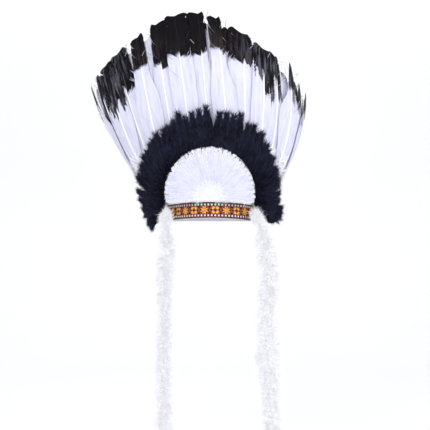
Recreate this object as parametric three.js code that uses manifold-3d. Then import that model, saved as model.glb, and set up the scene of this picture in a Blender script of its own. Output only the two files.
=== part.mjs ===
// Feathered headdress, in millimetres, +Z up. The wearer faces -Y and +X is on the viewer's right.
// The origin is the centre of the headband's lower edge, where it sits round the head.
// A cloth headband carries a flared felt backing. Tall feathers stand on the backing in two rows,
// a ruff of down covers their quills, and a fan of short feathers covers the foot of the ruff.
// A woven ribbon runs across the brow, and a drop of down hangs from each temple.
import * as THREE from "three";
import { mergeVertices } from "three/addons/utils/BufferGeometryUtils.js";
import Module from "manifold-3d";

const wasm = await Module();
wasm.setup();

// Headband
const headWidth = 156; // inside, side to side
const headDepth = 194; // inside, front to back
const bandHeight = 30;
const bandSteps = 72; // round the head
const bandWall = 2;
const browArch = 6; // how far the band rises over the brow, from level at the temples

// Backing: upright behind the ribbon, then flared outwards at the sides and leaning back over the brow
const clothGap = 0.3; // between glued layers
const backingWall = 2;
const backingLap = 3; // its lower edge lies this far above the band's
const backingTurn = 90; // degrees from the front centre to each end
const backingMargin = 12; // felt above the quill ends
const bendRise = 12; // the height over which it turns from upright to flared
const flareSlope = 0.92; // sideways spread for each millimetre of rise
const leanSlope = 0.25;

// Ribbon
const ribbonWall = 1.2;
const ribbonInset = 1.5; // from each edge of the band
const ribbonTurn = 66;

// Tall feathers
const fanTurn = 90; // degrees from the front centre to the outermost front feather
const seatRiseFront = 92; // height of the quill ends over the brow
const seatRiseSide = 46;
const seatGap = 0.6;
const fanHalfWidth = 198;
const fanTopRise = 384;
const fanSideRise = 266;
const fanTopDepth = -5; // Y of the middle tips
const fanWrap = 100; // how far the side tips lie behind the middle ones
const fanSway = 25; // how far the tips lean to one side
const fanBow = 115; // length of the straight start that bends a side feather
const fanMiddleBow = 66; // the same for the middle one
const fanShape = 2.5; // how pointed the row of tips is
const vaneHalf = 23;
const vaneRoom = 0.88; // a vane's half width is at most this share of the space to the next feather
const innerShare = 0.88; // the narrower side of a vane, as a share of the wider one
const vaneWall = 0.8;
const vaneCamber = 0.8;
const quillWidth = 4;
const quillDepth = 3;
const quillRise = 0.8; // of the shaft above the vane
const rowGap = 0.8;

// Ruff
const ruffLocks = 29;
const ruffCoreSteps = 28; // of the cord that carries them
const ruffFoot = 100; // height of its foot over the brow
const ruffTop = 206;
const ruffPuff = 43; // how far the locks reach out from the backing at the temples
const ruffCore = 4; // radius of the cord that the locks grow from
const ruffLockHalf = 12;
const ruffLockDepth = 6.5;

// Crest
const crestBlades = 15;
const crestHalfWidth = 82;
const crestRise = 94; // from the band's upper edge to the top
const crestMiddle = 32; // height above the band's upper edge at which it is widest
const crestPuff = 30; // how far its rim stands off the backing
const crestWall = 1.6;
const crestBladeWall = 2.4; // what each blade's ridge adds
const crestRoot = 0.06; // the blades start at this share of the way from the brow to the rim
const crestNotch = 0.95; // and part at this share

// Drops
const dropLength = 440;
const dropTiers = 21; // of locks, from the ribbon down
const dropLocks = 6; // round each tier
const dropDroop = 23; // how far a lock's tip hangs below its foot
const dropStem = 4; // radius of the stem that is sewn to the ribbon
const dropElbow = 5; // the stem turns down over this height
const dropSeatOut = 10; // the middle of its top stands off the ribbon
const leftDropRadius = 18;
const rightDropRadius = 22;
const dropTurn = 55; // where they are sewn to the ribbon's ends
const dropSeatRise = 20;
const dropSwing = 33; // the most that a cord wanders from straight down

// Sections of a tall feather. at: share of its length. half: share of vaneHalf. shaft: share of the quill's depth.
const FEATHER_SECTIONS = [
  { at: 0.0, half: 0.06, shaft: 0.7 },
  { at: 0.06, half: 0.09, shaft: 1.0 },
  { at: 0.13, half: 0.14, shaft: 1.0 },
  { at: 0.19, half: 0.46, shaft: 0.8 },
  { at: 0.29, half: 0.74, shaft: 0.7 },
  { at: 0.43, half: 0.9, shaft: 0.6 },
  { at: 0.62, half: 1.0, shaft: 0.5 },
  { at: 0.8, half: 0.98, shaft: 0.4 },
  { at: 0.92, half: 0.84, shaft: 0.35 },
  { at: 0.975, half: 0.6, shaft: 0.3 },
  { at: 1.0, half: 0.26, shaft: 0.3 },
];
const QUILL_END = 0.06; // the rows spread apart from here
const VANE_START = 0.15; // and are fully apart here

// Tall feathers from the viewer's left to right. reach: share of the fan's length. sway: degrees of turn at the tip.
const FRONT_ROW = [
  { reach: 0.94, sway: 0 },
  { reach: 0.96, sway: 0.5 },
  { reach: 0.98, sway: -1 },
  { reach: 0.99, sway: 0 },
  { reach: 1.0, sway: -1.5 },
  { reach: 0.99, sway: 1.5 },
  { reach: 1.0, sway: 1 },
  { reach: 1.0, sway: 0 },
  { reach: 1.0, sway: 0.6 },
  { reach: 0.985, sway: -2 },
  { reach: 0.96, sway: 0.8 },
  { reach: 0.945, sway: 1.5 },
  { reach: 0.965, sway: -1 },
  { reach: 0.96, sway: 0.8 },
  { reach: 0.92, sway: 1 },
  { reach: 0.9, sway: 0.4 },
  { reach: 0.88, sway: 0 },
];
const BACK_ROW = [
  { reach: 0.92, sway: 0.3 },
  { reach: 0.93, sway: -0.4 },
  { reach: 0.94, sway: 0.5 },
  { reach: 0.955, sway: 0 },
  { reach: 0.96, sway: 0.6 },
  { reach: 0.96, sway: -0.8 },
  { reach: 0.975, sway: 0.5 },
  { reach: 0.975, sway: 0 },
  { reach: 0.965, sway: -1 },
  { reach: 0.955, sway: 0.8 },
  { reach: 0.945, sway: 0 },
  { reach: 0.945, sway: 0.4 },
  { reach: 0.94, sway: -0.5 },
  { reach: 0.92, sway: 0 },
  { reach: 0.89, sway: 0.5 },
  { reach: 0.87, sway: 0 },
];

const turnStep = (2 * fanTurn) / (FRONT_ROW.length - 1);

// The ruff from its top to a temple end. Turns in degrees, foot: share of ruffFoot, tip: share of ruffTop, out: share of ruffPuff.
const RUFF_SECTIONS = [
  { footTurn: 0, foot: 1.0, tipTurn: 0, tip: 1.0, out: 0.6 },
  { footTurn: 12, foot: 0.985, tipTurn: 12, tip: 0.95, out: 0.6 },
  { footTurn: 24, foot: 0.92, tipTurn: 23, tip: 0.83, out: 0.65 },
  { footTurn: 34, foot: 0.82, tipTurn: 33, tip: 0.705, out: 0.7 },
  { footTurn: 42, foot: 0.72, tipTurn: 43, tip: 0.58, out: 0.72 },
  { footTurn: 50, foot: 0.58, tipTurn: 57, tip: 0.435, out: 0.68 },
  { footTurn: 60, foot: 0.44, tipTurn: 76, tip: 0.315, out: 0.7 },
  { footTurn: 69, foot: 0.3, tipTurn: 85, tip: 0.235, out: 0.86 },
  { footTurn: 75, foot: 0.16, tipTurn: 88, tip: 0.1, out: 0.95 },
  { footTurn: 76, foot: 0.06, tipTurn: 84, tip: -0.02, out: 0.85 },
];
// A ruff lock from foot to tip. at: share of its length. out: share of the way from the cord to the tip's reach.
const RUFF_LOCK = [
  { at: 0.0, out: 0.0, half: 0.8, depth: 0.55 },
  { at: 0.2, out: 0.75, half: 0.95, depth: 0.8 },
  { at: 0.62, out: 1.0, half: 1.0, depth: 1.0 },
  { at: 1.0, out: 0.97, half: 0.3, depth: 0.2 },
];

// Routes of the drops' cords from the ribbon down. down: share of dropLength. side and front: shares of dropSwing.
// wide: share of the drop's radius.
const DROP_ROUTES = {
  left: [
    { down: 0, side: 0, front: 0, wide: 0.5 },
    { down: 0.05, side: -0.06, front: -0.09, wide: 0.72 },
    { down: 0.13, side: -0.03, front: -0.03, wide: 0.92 },
    { down: 0.24, side: 0.06, front: 0.09, wide: 0.95 },
    { down: 0.34, side: 0.12, front: 0.15, wide: 0.76 },
    { down: 0.45, side: 0.09, front: 0.15, wide: 0.9 },
    { down: 0.58, side: 0.15, front: 0.12, wide: 0.86 },
    { down: 0.72, side: 0.12, front: 0.09, wide: 0.95 },
    { down: 0.86, side: 0.15, front: 0.06, wide: 0.96 },
    { down: 0.96, side: 0.12, front: 0.06, wide: 0.7 },
    { down: 1, side: 0.12, front: 0.06, wide: 0.3 },
  ],
  right: [
    { down: 0, side: 0, front: 0, wide: 0.45 },
    { down: 0.05, side: 0.45, front: -0.06, wide: 0.66 },
    { down: 0.13, side: 0.76, front: 0, wide: 0.76 },
    { down: 0.25, side: 0.88, front: 0.12, wide: 1 },
    { down: 0.33, side: 0.73, front: 0.18, wide: 0.74 },
    { down: 0.45, side: 0.76, front: 0.18, wide: 1.16 },
    { down: 0.57, side: 0.79, front: 0.15, wide: 0.98 },
    { down: 0.7, side: 0.96, front: 0.12, wide: 0.68 },
    { down: 0.84, side: 1, front: 0.09, wide: 0.76 },
    { down: 0.95, side: 1, front: 0.09, wide: 0.64 },
    { down: 1, side: 1, front: 0.09, wide: 0.28 },
  ],
};
// A tier of locks. radius: share of the drop's there. fall: share of dropDroop.
const DROP_FOOT = { radius: 0.56, fall: 0 };
const DROP_TIP = { radius: 1, fall: 1 };
const DROP_VALLEY = { radius: 0.7, fall: 0.55 };

const white = new THREE.MeshStandardMaterial({ color: 0xf1f0f5, roughness: 0.75 });
const down = new THREE.MeshStandardMaterial({ color: 0xfafaff, roughness: 0.95 });
const black = new THREE.MeshStandardMaterial({ color: 0x15161d, roughness: 0.9 });
const felt = new THREE.MeshStandardMaterial({ color: 0xe6e4e6, roughness: 0.95 });
const woven = new THREE.MeshStandardMaterial({ color: 0x8c3f2c, roughness: 0.8 });

const radians = THREE.MathUtils.degToRad;
const degrees = THREE.MathUtils.radToDeg;
const lerp = THREE.MathUtils.lerp;
const smoothstep = THREE.MathUtils.smoothstep;

const innerX = headWidth / 2 + bandWall + clothGap;
const innerY = headDepth / 2 + bandWall + clothGap;
const seatOut = backingWall + seatGap;
const rowPitch = vaneWall + quillRise + vaneCamber + rowGap;

// How far the band stands above its level back at a turn from the front centre.
function archRise(turn) {
  return browArch * Math.max(0, Math.cos(radians(turn))) ** 2;
}

// Rises as 0 below the band's upper edge, and as the height above the bend once well above it.
function flareRise(turn, rise) {
  const above = Math.max(0, rise - bandHeight - archRise(turn));
  const bent = above < bendRise ? (above * above) / (2 * bendRise) : above - bendRise / 2;
  const slope = Math.min(1, above / bendRise);
  return { bent, slope };
}

// The point at a turn from the front centre, a rise, and a distance out from the backing's inner face.
function shellPoint(turn, rise, out) {
  const { bent, slope } = flareRise(turn, rise);
  const [sin, cos] = [Math.sin(radians(turn)), Math.cos(radians(turn))];
  const halfX = innerX + flareSlope * bent;
  const halfY = innerY - leanSlope * bent;
  const across = new THREE.Vector3(halfX * cos, halfY * sin, 0);
  const up = new THREE.Vector3(flareSlope * slope * sin, leanSlope * slope * cos, 1);
  const normal = across.cross(up).normalize();
  return new THREE.Vector3(halfX * sin, -halfY * cos, rise).addScaledVector(normal, out);
}

// The turn at which the front view shows x, for a point out from the backing's inner face.
function turnAt(x, rise, out) {
  const closer = (turn) => {
    const halfX = innerX + flareSlope * flareRise(turn, rise).bent + out;
    return degrees(Math.asin(THREE.MathUtils.clamp(x / halfX, -1, 1)));
  };
  return closer(closer(0));
}

function seatRise(turn) {
  return lerp(seatRiseSide, seatRiseFront, Math.max(0, Math.cos(radians(turn))));
}

// A closed geometry from an array of triangles, each three vectors, with its faces pointing out.
function closedGeometry(triangles) {
  let volume = 0;
  for (const [a, b, c] of triangles) volume += a.dot(b.clone().cross(c));
  const facing = volume < 0 ? ([a, b, c]) => [a, c, b] : (triangle) => triangle;
  const points = triangles.flatMap(facing);
  return mergeVertices(new THREE.BufferGeometry().setFromPoints(points), 1e-4);
}

// A solid through a row of rings with the same number of points each, with flat ends.
function loft(rings) {
  const count = rings[0].length;
  const triangles = [];
  rings.slice(1).forEach((ring, i) => {
    const last = rings[i];
    for (let j = 0; j < count; j++) {
      const k = (j + 1) % count;
      triangles.push([last[j], last[k], ring[k]], [last[j], ring[k], ring[j]]);
    }
  });
  const [first, end] = [rings[0], rings.at(-1)];
  for (let j = 1; j < count - 1; j++) {
    triangles.push([first[0], first[j + 1], first[j]], [end[0], end[j], end[j + 1]]);
  }
  return closedGeometry(triangles);
}

// A wall between two surfaces of the same two shares, from 0 to 1.
function wall(front, back, columns, rows) {
  const sections = [];
  for (let i = 0; i <= columns; i++) {
    const ring = [];
    for (let j = 0; j <= rows; j++) ring.push(front(i / columns, j / rows));
    for (let j = rows; j >= 0; j--) ring.push(back(i / columns, j / rows));
    sections.push(ring);
  }
  const triangles = [];
  const count = 2 * rows + 2;
  for (let i = 0; i < columns; i++) {
    for (let j = 0; j < count; j++) {
      const k = (j + 1) % count;
      const [a, b] = [sections[i], sections[i + 1]];
      triangles.push([a[j], a[k], b[k]], [a[j], b[k], b[j]]);
    }
  }
  for (const [ring, flip] of [[sections[0], true], [sections[columns], false]]) {
    for (let j = 0; j < rows; j++) {
      const [p, q, r, s] = [ring[j], ring[j + 1], ring[count - 2 - j], ring[count - 1 - j]];
      triangles.push(flip ? [p, r, q] : [p, q, r], flip ? [p, s, r] : [p, r, s]);
    }
  }
  return closedGeometry(triangles);
}

function solidOf(geometry) {
  return new wasm.Manifold(
    new wasm.Mesh({
      numProp: 3,
      vertProperties: geometry.getAttribute("position").array,
      triVerts: new Uint32Array(geometry.index.array),
    }),
  );
}

// One geometry of several that run into each other.
function fuse(geometries) {
  const joined = geometries.map(solidOf).reduce((all, one) => all.add(one));
  const { vertProperties, triVerts } = joined.getMesh();
  return new THREE.BufferGeometry()
    .setAttribute("position", new THREE.BufferAttribute(vertProperties, 3))
    .setIndex(new THREE.BufferAttribute(triVerts, 1));
}

// A ring of points round a centre, between a sideways and a forward half axis.
function ovalRing(centre, side, forward, count) {
  return Array.from({ length: count }, (_, i) => {
    const angle = (2 * Math.PI * i) / count;
    return centre
      .clone()
      .addScaledVector(side, Math.cos(angle))
      .addScaledVector(forward, Math.sin(angle));
  });
}

function between(low, high, share) {
  return Object.fromEntries(
    Object.keys(low).map((key) => [key, lerp(low[key], high[key], share)]),
  );
}

// The row of a table at a share of the way down it, with every column interpolated.
function rowAt(table, share) {
  const place = THREE.MathUtils.clamp(share, 0, 1) * (table.length - 1);
  const index = Math.min(Math.floor(place), table.length - 2);
  return between(table[index], table[index + 1], place - index);
}

// An upright strip round the head, as sections of four points joined in a circle.
function makeHeadband() {
  const sections = Array.from({ length: bandSteps }, (_, i) => {
    const turn = (360 * i) / bandSteps;
    const point = (wallOut, rise) =>
      new THREE.Vector3(
        (headWidth / 2 + wallOut) * Math.sin(radians(turn)),
        -(headDepth / 2 + wallOut) * Math.cos(radians(turn)),
        rise + archRise(turn),
      );
    return [point(0, 0), point(bandWall, 0), point(bandWall, bandHeight), point(0, bandHeight)];
  });
  const triangles = sections.flatMap((ring, i) => {
    const next = sections[(i + 1) % bandSteps];
    return ring.flatMap((corner, j) => {
      const k = (j + 1) % ring.length;
      return [[corner, ring[k], next[k]], [corner, next[k], next[j]]];
    });
  });
  return closedGeometry(triangles);
}

function makeBacking() {
  const surface = (out) => (u, v) => {
    const turn = lerp(-backingTurn, backingTurn, u);
    const top = seatRise(turn) + backingMargin;
    // The rows crowd round the bend above the band, then spread evenly to the top.
    const edge = bandHeight + archRise(turn);
    const low = backingLap + archRise(turn);
    const rises = [low, edge, edge + bendRise / 2, edge + bendRise, top];
    return shellPoint(turn, rises[Math.round(v * (rises.length - 1))], out);
  };
  return wall(surface(backingWall), surface(0), 36, 4);
}

function makeRibbon() {
  const inner = backingWall + clothGap;
  const surface = (out) => (u, v) => {
    const turn = lerp(-ribbonTurn, ribbonTurn, u);
    const rise = lerp(ribbonInset, bandHeight - ribbonInset, v) + archRise(turn);
    return shellPoint(turn, rise, out);
  };
  return wall(surface(inner + ribbonWall), surface(inner), 26, 2);
}

// The surface that the tall feathers lie on: each shaft starts along the backing, then bends up to its tip.
function fanPoint(turn, along) {
  const angle = radians(turn);
  const foot = shellPoint(turn, seatRise(turn), seatOut);
  const start = shellPoint(turn, seatRise(turn) + 1, seatOut).sub(foot).normalize();
  const front = Math.max(0, Math.cos(angle));
  const bend = foot.clone().addScaledVector(start, lerp(fanBow, fanMiddleBow, front ** 2));
  const up = front ** fanShape;
  const tip = new THREE.Vector3(
    fanHalfWidth * Math.sin(angle) - fanSway,
    fanTopDepth + fanWrap * (1 - Math.cos(angle)),
    lerp(fanSideRise, fanTopRise, up),
  );
  return foot
    .multiplyScalar((1 - along) ** 2)
    .addScaledVector(bend, 2 * along * (1 - along))
    .addScaledVector(tip, along ** 2);
}

// The width of one degree of the fan.
function degreeWidth(turn, along) {
  return fanPoint(turn + 0.5, along).distanceTo(fanPoint(turn - 0.5, along));
}

// A point of a feather's vane: across from its shaft in mm, and a lift in front of the fan's surface.
function vanePoint(turn, along, across, lift) {
  const there = turn + across / degreeWidth(turn, along);
  const acrossWay = fanPoint(there + 0.5, along).sub(fanPoint(there - 0.5, along));
  const alongWay = fanPoint(there, along + 0.01).sub(fanPoint(there, along - 0.01));
  const normal = acrossWay.cross(alongWay).normalize();
  return fanPoint(there, along).addScaledVector(normal, lift);
}

// layer counts from the back; the layers part beyond the quills so that neighbours overlap without touching.
function makeTallFeather(turn, layer, { reach, sway }) {
  const outerSide = Math.sign(turn) || 1;
  const rings = FEATHER_SECTIONS.map(({ at, half, shaft }) => {
    const along = at * reach;
    const here = turn + sway * along * along;
    const apart = smoothstep(along, QUILL_END, VANE_START);
    const lift = apart * (layer * rowPitch + vaneCamber);
    const isVane = smoothstep(along, VANE_START * 0.8, VANE_START * 1.3);
    const room = vaneRoom * turnStep * degreeWidth(here, along);
    const halfWidth = Math.max(quillWidth / 2, Math.min(half * vaneHalf, room));
    const edge = lerp(quillDepth * 0.6, vaneWall, isVane);
    const crown = lerp(quillDepth * shaft, vaneWall + quillRise * shaft, isVane);
    const droop = vaneCamber * isVane;
    const [left, right] = outerSide > 0 ? [1, innerShare] : [innerShare, 1];
    const [a, b] = [-halfWidth * left, halfWidth * right];
    return [
      vanePoint(here, along, a, lift - droop),
      vanePoint(here, along, 0, lift),
      vanePoint(here, along, b, lift - droop),
      vanePoint(here, along, b, lift - droop + edge),
      vanePoint(here, along, 0, lift + crown),
      vanePoint(here, along, a, lift - droop + edge),
    ];
  });
  return loft(rings);
}

// The cord that the ruff's locks grow from lies over the quills, and on the backing where there are none.
function ruffFootPoint({ footTurn, foot }) {
  const rise = foot * ruffFoot;
  const overQuills = smoothstep(rise, seatRise(footTurn) - 2 * backingMargin, seatRise(footTurn) - 4);
  const out = backingWall + clothGap + ruffCore + overQuills * (seatGap + quillDepth);
  return { rise, out, point: shellPoint(footTurn, rise, out) };
}

function makeRuffLock(share, lengthShare) {
  const row = rowAt(RUFF_SECTIONS, Math.abs(share));
  const side = Math.sign(share) || 1;
  const foot = ruffFootPoint(row);
  const sideways = new THREE.Vector3();
  const before = ruffFootPoint(rowAt(RUFF_SECTIONS, Math.abs(share) - 0.03)).point;
  const after = ruffFootPoint(rowAt(RUFF_SECTIONS, Math.abs(share) + 0.03)).point;
  sideways.subVectors(after, before).multiply(new THREE.Vector3(side, 1, 1)).normalize();
  const centres = RUFF_LOCK.map(({ at, out }) => {
    const there = at * lengthShare;
    const turn = side * lerp(row.footTurn, row.tipTurn, there);
    const rise = lerp(foot.rise, row.tip * ruffTop, there);
    return shellPoint(turn, rise, lerp(foot.out, row.out * ruffPuff, out));
  });
  const rings = RUFF_LOCK.map(({ half, depth }, i) => {
    const ahead = centres[Math.min(i + 1, centres.length - 1)];
    const behind = centres[Math.max(i - 1, 0)];
    const way = ahead.clone().sub(behind).normalize();
    const forward = way.clone().cross(sideways).normalize();
    const across = forward.clone().cross(way);
    return ovalRing(
      centres[i],
      across.multiplyScalar(half * ruffLockHalf),
      forward.multiplyScalar(depth * ruffLockDepth),
      5,
    );
  });
  return loft(rings);
}

function makeRuff() {
  const shares = Array.from({ length: ruffCoreSteps + 1 }, (_, i) => lerp(-1, 1, i / ruffCoreSteps));
  const points = shares.map((share) => {
    const { point } = ruffFootPoint(rowAt(RUFF_SECTIONS, Math.abs(share)));
    return point.multiply(new THREE.Vector3(Math.sign(share) || 1, 1, 1));
  });
  const core = tube(points, points.map(() => ruffCore), 6);
  const lengths = [1, 0.9, 0.97, 0.86]; // locks end unevenly, in turn
  const locks = Array.from({ length: ruffLocks }, (_, i) =>
    makeRuffLock(lerp(-1, 1, i / (ruffLocks - 1)), lengths[i % lengths.length]),
  );
  return fuse([core, ...locks]);
}

// A round bar along a row of points, with a radius at each.
function tube(points, radii, sides) {
  const reference = new THREE.Vector3(0, -1, 0.2).normalize();
  return loft(
    points.map((point, i) => {
      const ahead = points[Math.min(i + 1, points.length - 1)];
      const behind = points[Math.max(i - 1, 0)];
      const way = ahead.clone().sub(behind).normalize();
      const side = way.clone().cross(reference).normalize();
      const forward = side.clone().cross(way);
      return ovalRing(point, side.multiplyScalar(radii[i]), forward.multiplyScalar(radii[i]), sides);
    }),
  );
}

// The crest in its own polar grid: an angle round the middle of the brow, and a share of the way to the rim.
function crestPoint(angle, share, out) {
  const rimX = crestHalfWidth * Math.sin(radians(angle));
  const rimZ = bandHeight + crestMiddle + (crestRise - crestMiddle) * Math.cos(radians(angle));
  const rootZ = bandHeight + browArch + crestWall;
  const rise = lerp(rootZ, rimZ, share);
  return shellPoint(turnAt(rimX * share, rise, out), rise, out);
}

const crestEnd = 90 + degrees(Math.asin(0.45)); // the angle of its lower corners

// Its root lies on the backing, and it bows out from there to the rim.
function crestOut(share) {
  const bow = Math.sin(((share - crestRoot) / (1 - crestRoot)) * Math.PI * 0.5);
  return backingWall + clothGap + crestPuff * bow;
}

// The blades lie side by side on one wall: each rises to a ridge down its middle and ends in a point of its own.
function makeCrest() {
  const columns = 2 * crestBlades;
  const surface = (lift) => (u, v) => {
    const column = Math.round(u * columns);
    const isRidge = column % 2 === 1;
    const rim = isRidge ? 1 : crestNotch;
    const share = lerp(crestRoot, rim, v);
    const ridge = isRidge ? crestBladeWall * Math.min(1, share * 2) : 0;
    const out = crestOut(share) + lift * (crestWall + ridge);
    return crestPoint(lerp(-crestEnd, crestEnd, u), share, out);
  };
  return wall(surface(1), surface(0), columns, 5);
}

// Tiers of drooping locks on one body: each foot ring is round, and each tip ring alternates tips and valleys.
// A stem comes straight out of the ribbon and turns down into the first tier.
function makeDrop(route, radius, side) {
  const turn = side * dropTurn;
  const ribbonFace = backingWall + clothGap + ribbonWall;
  const stem = shellPoint(turn, dropSeatRise, ribbonFace + clothGap);
  const start = shellPoint(turn, dropSeatRise - dropElbow, ribbonFace + dropSeatOut);
  const curve = new THREE.CatmullRomCurve3(
    route.map(
      (row) =>
        new THREE.Vector3(
          start.x + side * row.side * dropSwing,
          start.y + row.front * dropSwing,
          start.z - row.down * dropLength,
        ),
    ),
  );
  const columns = 2 * dropLocks;
  const wideAt = (share) => {
    const next = Math.max(1, route.findIndex(({ down: fall }) => fall >= share));
    const [low, high] = [route[next - 1], route[next]];
    return lerp(low.wide, high.wide, (share - low.down) / (high.down - low.down));
  };
  const pointAt = (share, column, { radius: part, fall }) => {
    const angle = (2 * Math.PI * column) / columns;
    const centre = curve.getPointAt(share);
    const reach = part * radius * wideAt(share);
    const way = new THREE.Vector3(Math.sin(angle), -Math.cos(angle), 0);
    return centre.addScaledVector(way, reach).setZ(centre.z - fall * dropDroop);
  };
  const outward = start.clone().sub(stem).setZ(0).normalize();
  const sideways = new THREE.Vector3(-outward.y, outward.x, 0);
  const stemRing = Array.from({ length: columns }, (_, column) => {
    const angle = (2 * Math.PI * column) / columns;
    const way = new THREE.Vector3(Math.sin(angle), -Math.cos(angle), 0);
    return stem
      .clone()
      .addScaledVector(sideways, dropStem * way.dot(sideways))
      .setZ(stem.z + dropStem * way.dot(outward));
  });
  const rings = [stemRing];
  for (let tier = 0; tier < dropTiers; tier++) {
    const share = tier / dropTiers;
    rings.push(Array.from({ length: columns }, (_, i) => pointAt(share, i, DROP_FOOT)));
    rings.push(
      Array.from({ length: columns }, (_, i) =>
        pointAt(share, i, (i + tier) % 2 ? DROP_TIP : DROP_VALLEY),
      ),
    );
  }
  return loft(rings);
}

const headdress = new THREE.Group();

function add(name, geometry, material) {
  const mesh = new THREE.Mesh(geometry, material);
  mesh.name = name;
  headdress.add(mesh);
}

// A row of tall feathers, spread evenly about the front centre, in two layers by turns.
function addRow(name, row, layers) {
  row.forEach((feather, i) => {
    const turn = (i - (row.length - 1) / 2) * turnStep;
    const number = String(i + 1).padStart(2, "0");
    add(`${name}_${number}`, makeTallFeather(turn, layers[i % layers.length], feather), white);
  });
}

add("headband", makeHeadband(), felt);
add("backing", makeBacking(), felt);
add("brow_ribbon", makeRibbon(), woven);
addRow("back_feather", BACK_ROW, [0, 1]);
addRow("front_feather", FRONT_ROW, [2, 3]);
add("ruff", makeRuff(), black);
add("crest", makeCrest(), white);
add("drop_left", makeDrop(DROP_ROUTES.left, leftDropRadius, -1), down);
add("drop_right", makeDrop(DROP_ROUTES.right, rightDropRadius, 1), down);

export default headdress;
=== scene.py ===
"""A feathered headdress, dressed for the camera.

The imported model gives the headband, the backing and the place of every feather. Each of them is
built again here down to its barbs, on the same curved surfaces, in metres, +Z up, brow towards -Y.
"""

from collections import namedtuple

import bpy
import numpy as np
from bpy.props import FloatProperty, FloatVectorProperty, IntProperty, PointerProperty
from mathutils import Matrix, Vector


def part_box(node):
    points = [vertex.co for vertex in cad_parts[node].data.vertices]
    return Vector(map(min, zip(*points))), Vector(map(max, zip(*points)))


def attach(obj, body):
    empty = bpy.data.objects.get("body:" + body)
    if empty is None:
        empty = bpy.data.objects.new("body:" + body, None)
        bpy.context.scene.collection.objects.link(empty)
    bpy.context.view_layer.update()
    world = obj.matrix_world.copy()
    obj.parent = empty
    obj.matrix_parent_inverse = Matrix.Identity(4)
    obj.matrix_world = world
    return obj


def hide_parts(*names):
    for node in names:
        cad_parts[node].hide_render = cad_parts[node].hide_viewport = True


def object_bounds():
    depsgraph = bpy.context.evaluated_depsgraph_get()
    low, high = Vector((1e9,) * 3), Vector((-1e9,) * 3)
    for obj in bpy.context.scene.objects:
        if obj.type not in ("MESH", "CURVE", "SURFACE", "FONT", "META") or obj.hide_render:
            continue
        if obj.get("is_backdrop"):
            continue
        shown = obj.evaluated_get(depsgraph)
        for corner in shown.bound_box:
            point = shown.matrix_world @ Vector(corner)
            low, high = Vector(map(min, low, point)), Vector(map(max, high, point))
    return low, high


bl_info = {
    "name": "Feathered Headdress",
    "version": (1, 0, 0),
    "blender": (4, 5, 0),
    "location": "View3D > Sidebar > Headdress",
    "description": "Builds a feathered headdress with a woven ribbon and drops of down",
    "category": "Add Mesh",
}

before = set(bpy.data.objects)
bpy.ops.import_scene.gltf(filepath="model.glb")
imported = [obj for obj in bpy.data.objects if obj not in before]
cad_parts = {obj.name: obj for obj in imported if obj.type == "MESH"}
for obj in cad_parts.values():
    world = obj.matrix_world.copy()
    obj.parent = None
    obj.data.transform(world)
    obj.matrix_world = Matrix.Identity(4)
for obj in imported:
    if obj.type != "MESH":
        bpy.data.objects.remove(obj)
CAD_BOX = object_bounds()

# Headband, from the frame
BAND_LOW, BAND_HIGH = (np.array(corner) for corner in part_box("headband"))
BAND_WALL = 0.002
BAND_HEIGHT = 0.03
BROW_ARCH = BAND_HIGH[2] - BAND_LOW[2] - BAND_HEIGHT
BAND_HALF_X = BAND_HIGH[0] - BAND_WALL / 2
BAND_HALF_Y = BAND_HIGH[1] - BAND_WALL / 2
CLOTH_GAP = 0.0003

# Backing: upright behind the ribbon, then flared outwards and leaning back
BACKING_WALL = 0.002
BACKING_LAP = 0.003
BACKING_TURN = 90
BACKING_MARGIN = 0.012
BEND_RISE = 0.012
FLARE_SLOPE = 0.92
LEAN_SLOPE = 0.25
INNER_X = BAND_HIGH[0] + CLOTH_GAP
INNER_Y = BAND_HIGH[1] + CLOTH_GAP

# Ribbon
RIBBON_WALL = 0.0012
RIBBON_INSET = 0.0015
RIBBON_TURN = 66
RIBBON_OUT = BACKING_WALL + CLOTH_GAP

# The chart on the ribbon, in millimetres: from a flower to the next star, and how much longer
# each pitch is than the last.
CHART_PITCH = 19.9
CHART_STRETCH = 0.9

# Fan of tall feathers
FAN_TURN = 90
SEAT_FRONT = 0.092
SEAT_SIDE = 0.046
SEAT_OUT = BACKING_WALL + 0.0006
FAN_HALF_WIDTH = 0.198
FAN_TOP = 0.384
FAN_SIDE = 0.266
FAN_TOP_DEPTH = -0.005
FAN_WRAP = 0.1
FAN_SWAY = 0.025
FAN_BOW = 0.115
FAN_MIDDLE_BOW = 0.066
FAN_SHAPE = 2.5
ROW_PITCH = 0.0032
VANE_CAMBER = 0.0008
QUILL_END = 0.06
VANE_START = 0.15
PALE_STRAYS = 0.04

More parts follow.
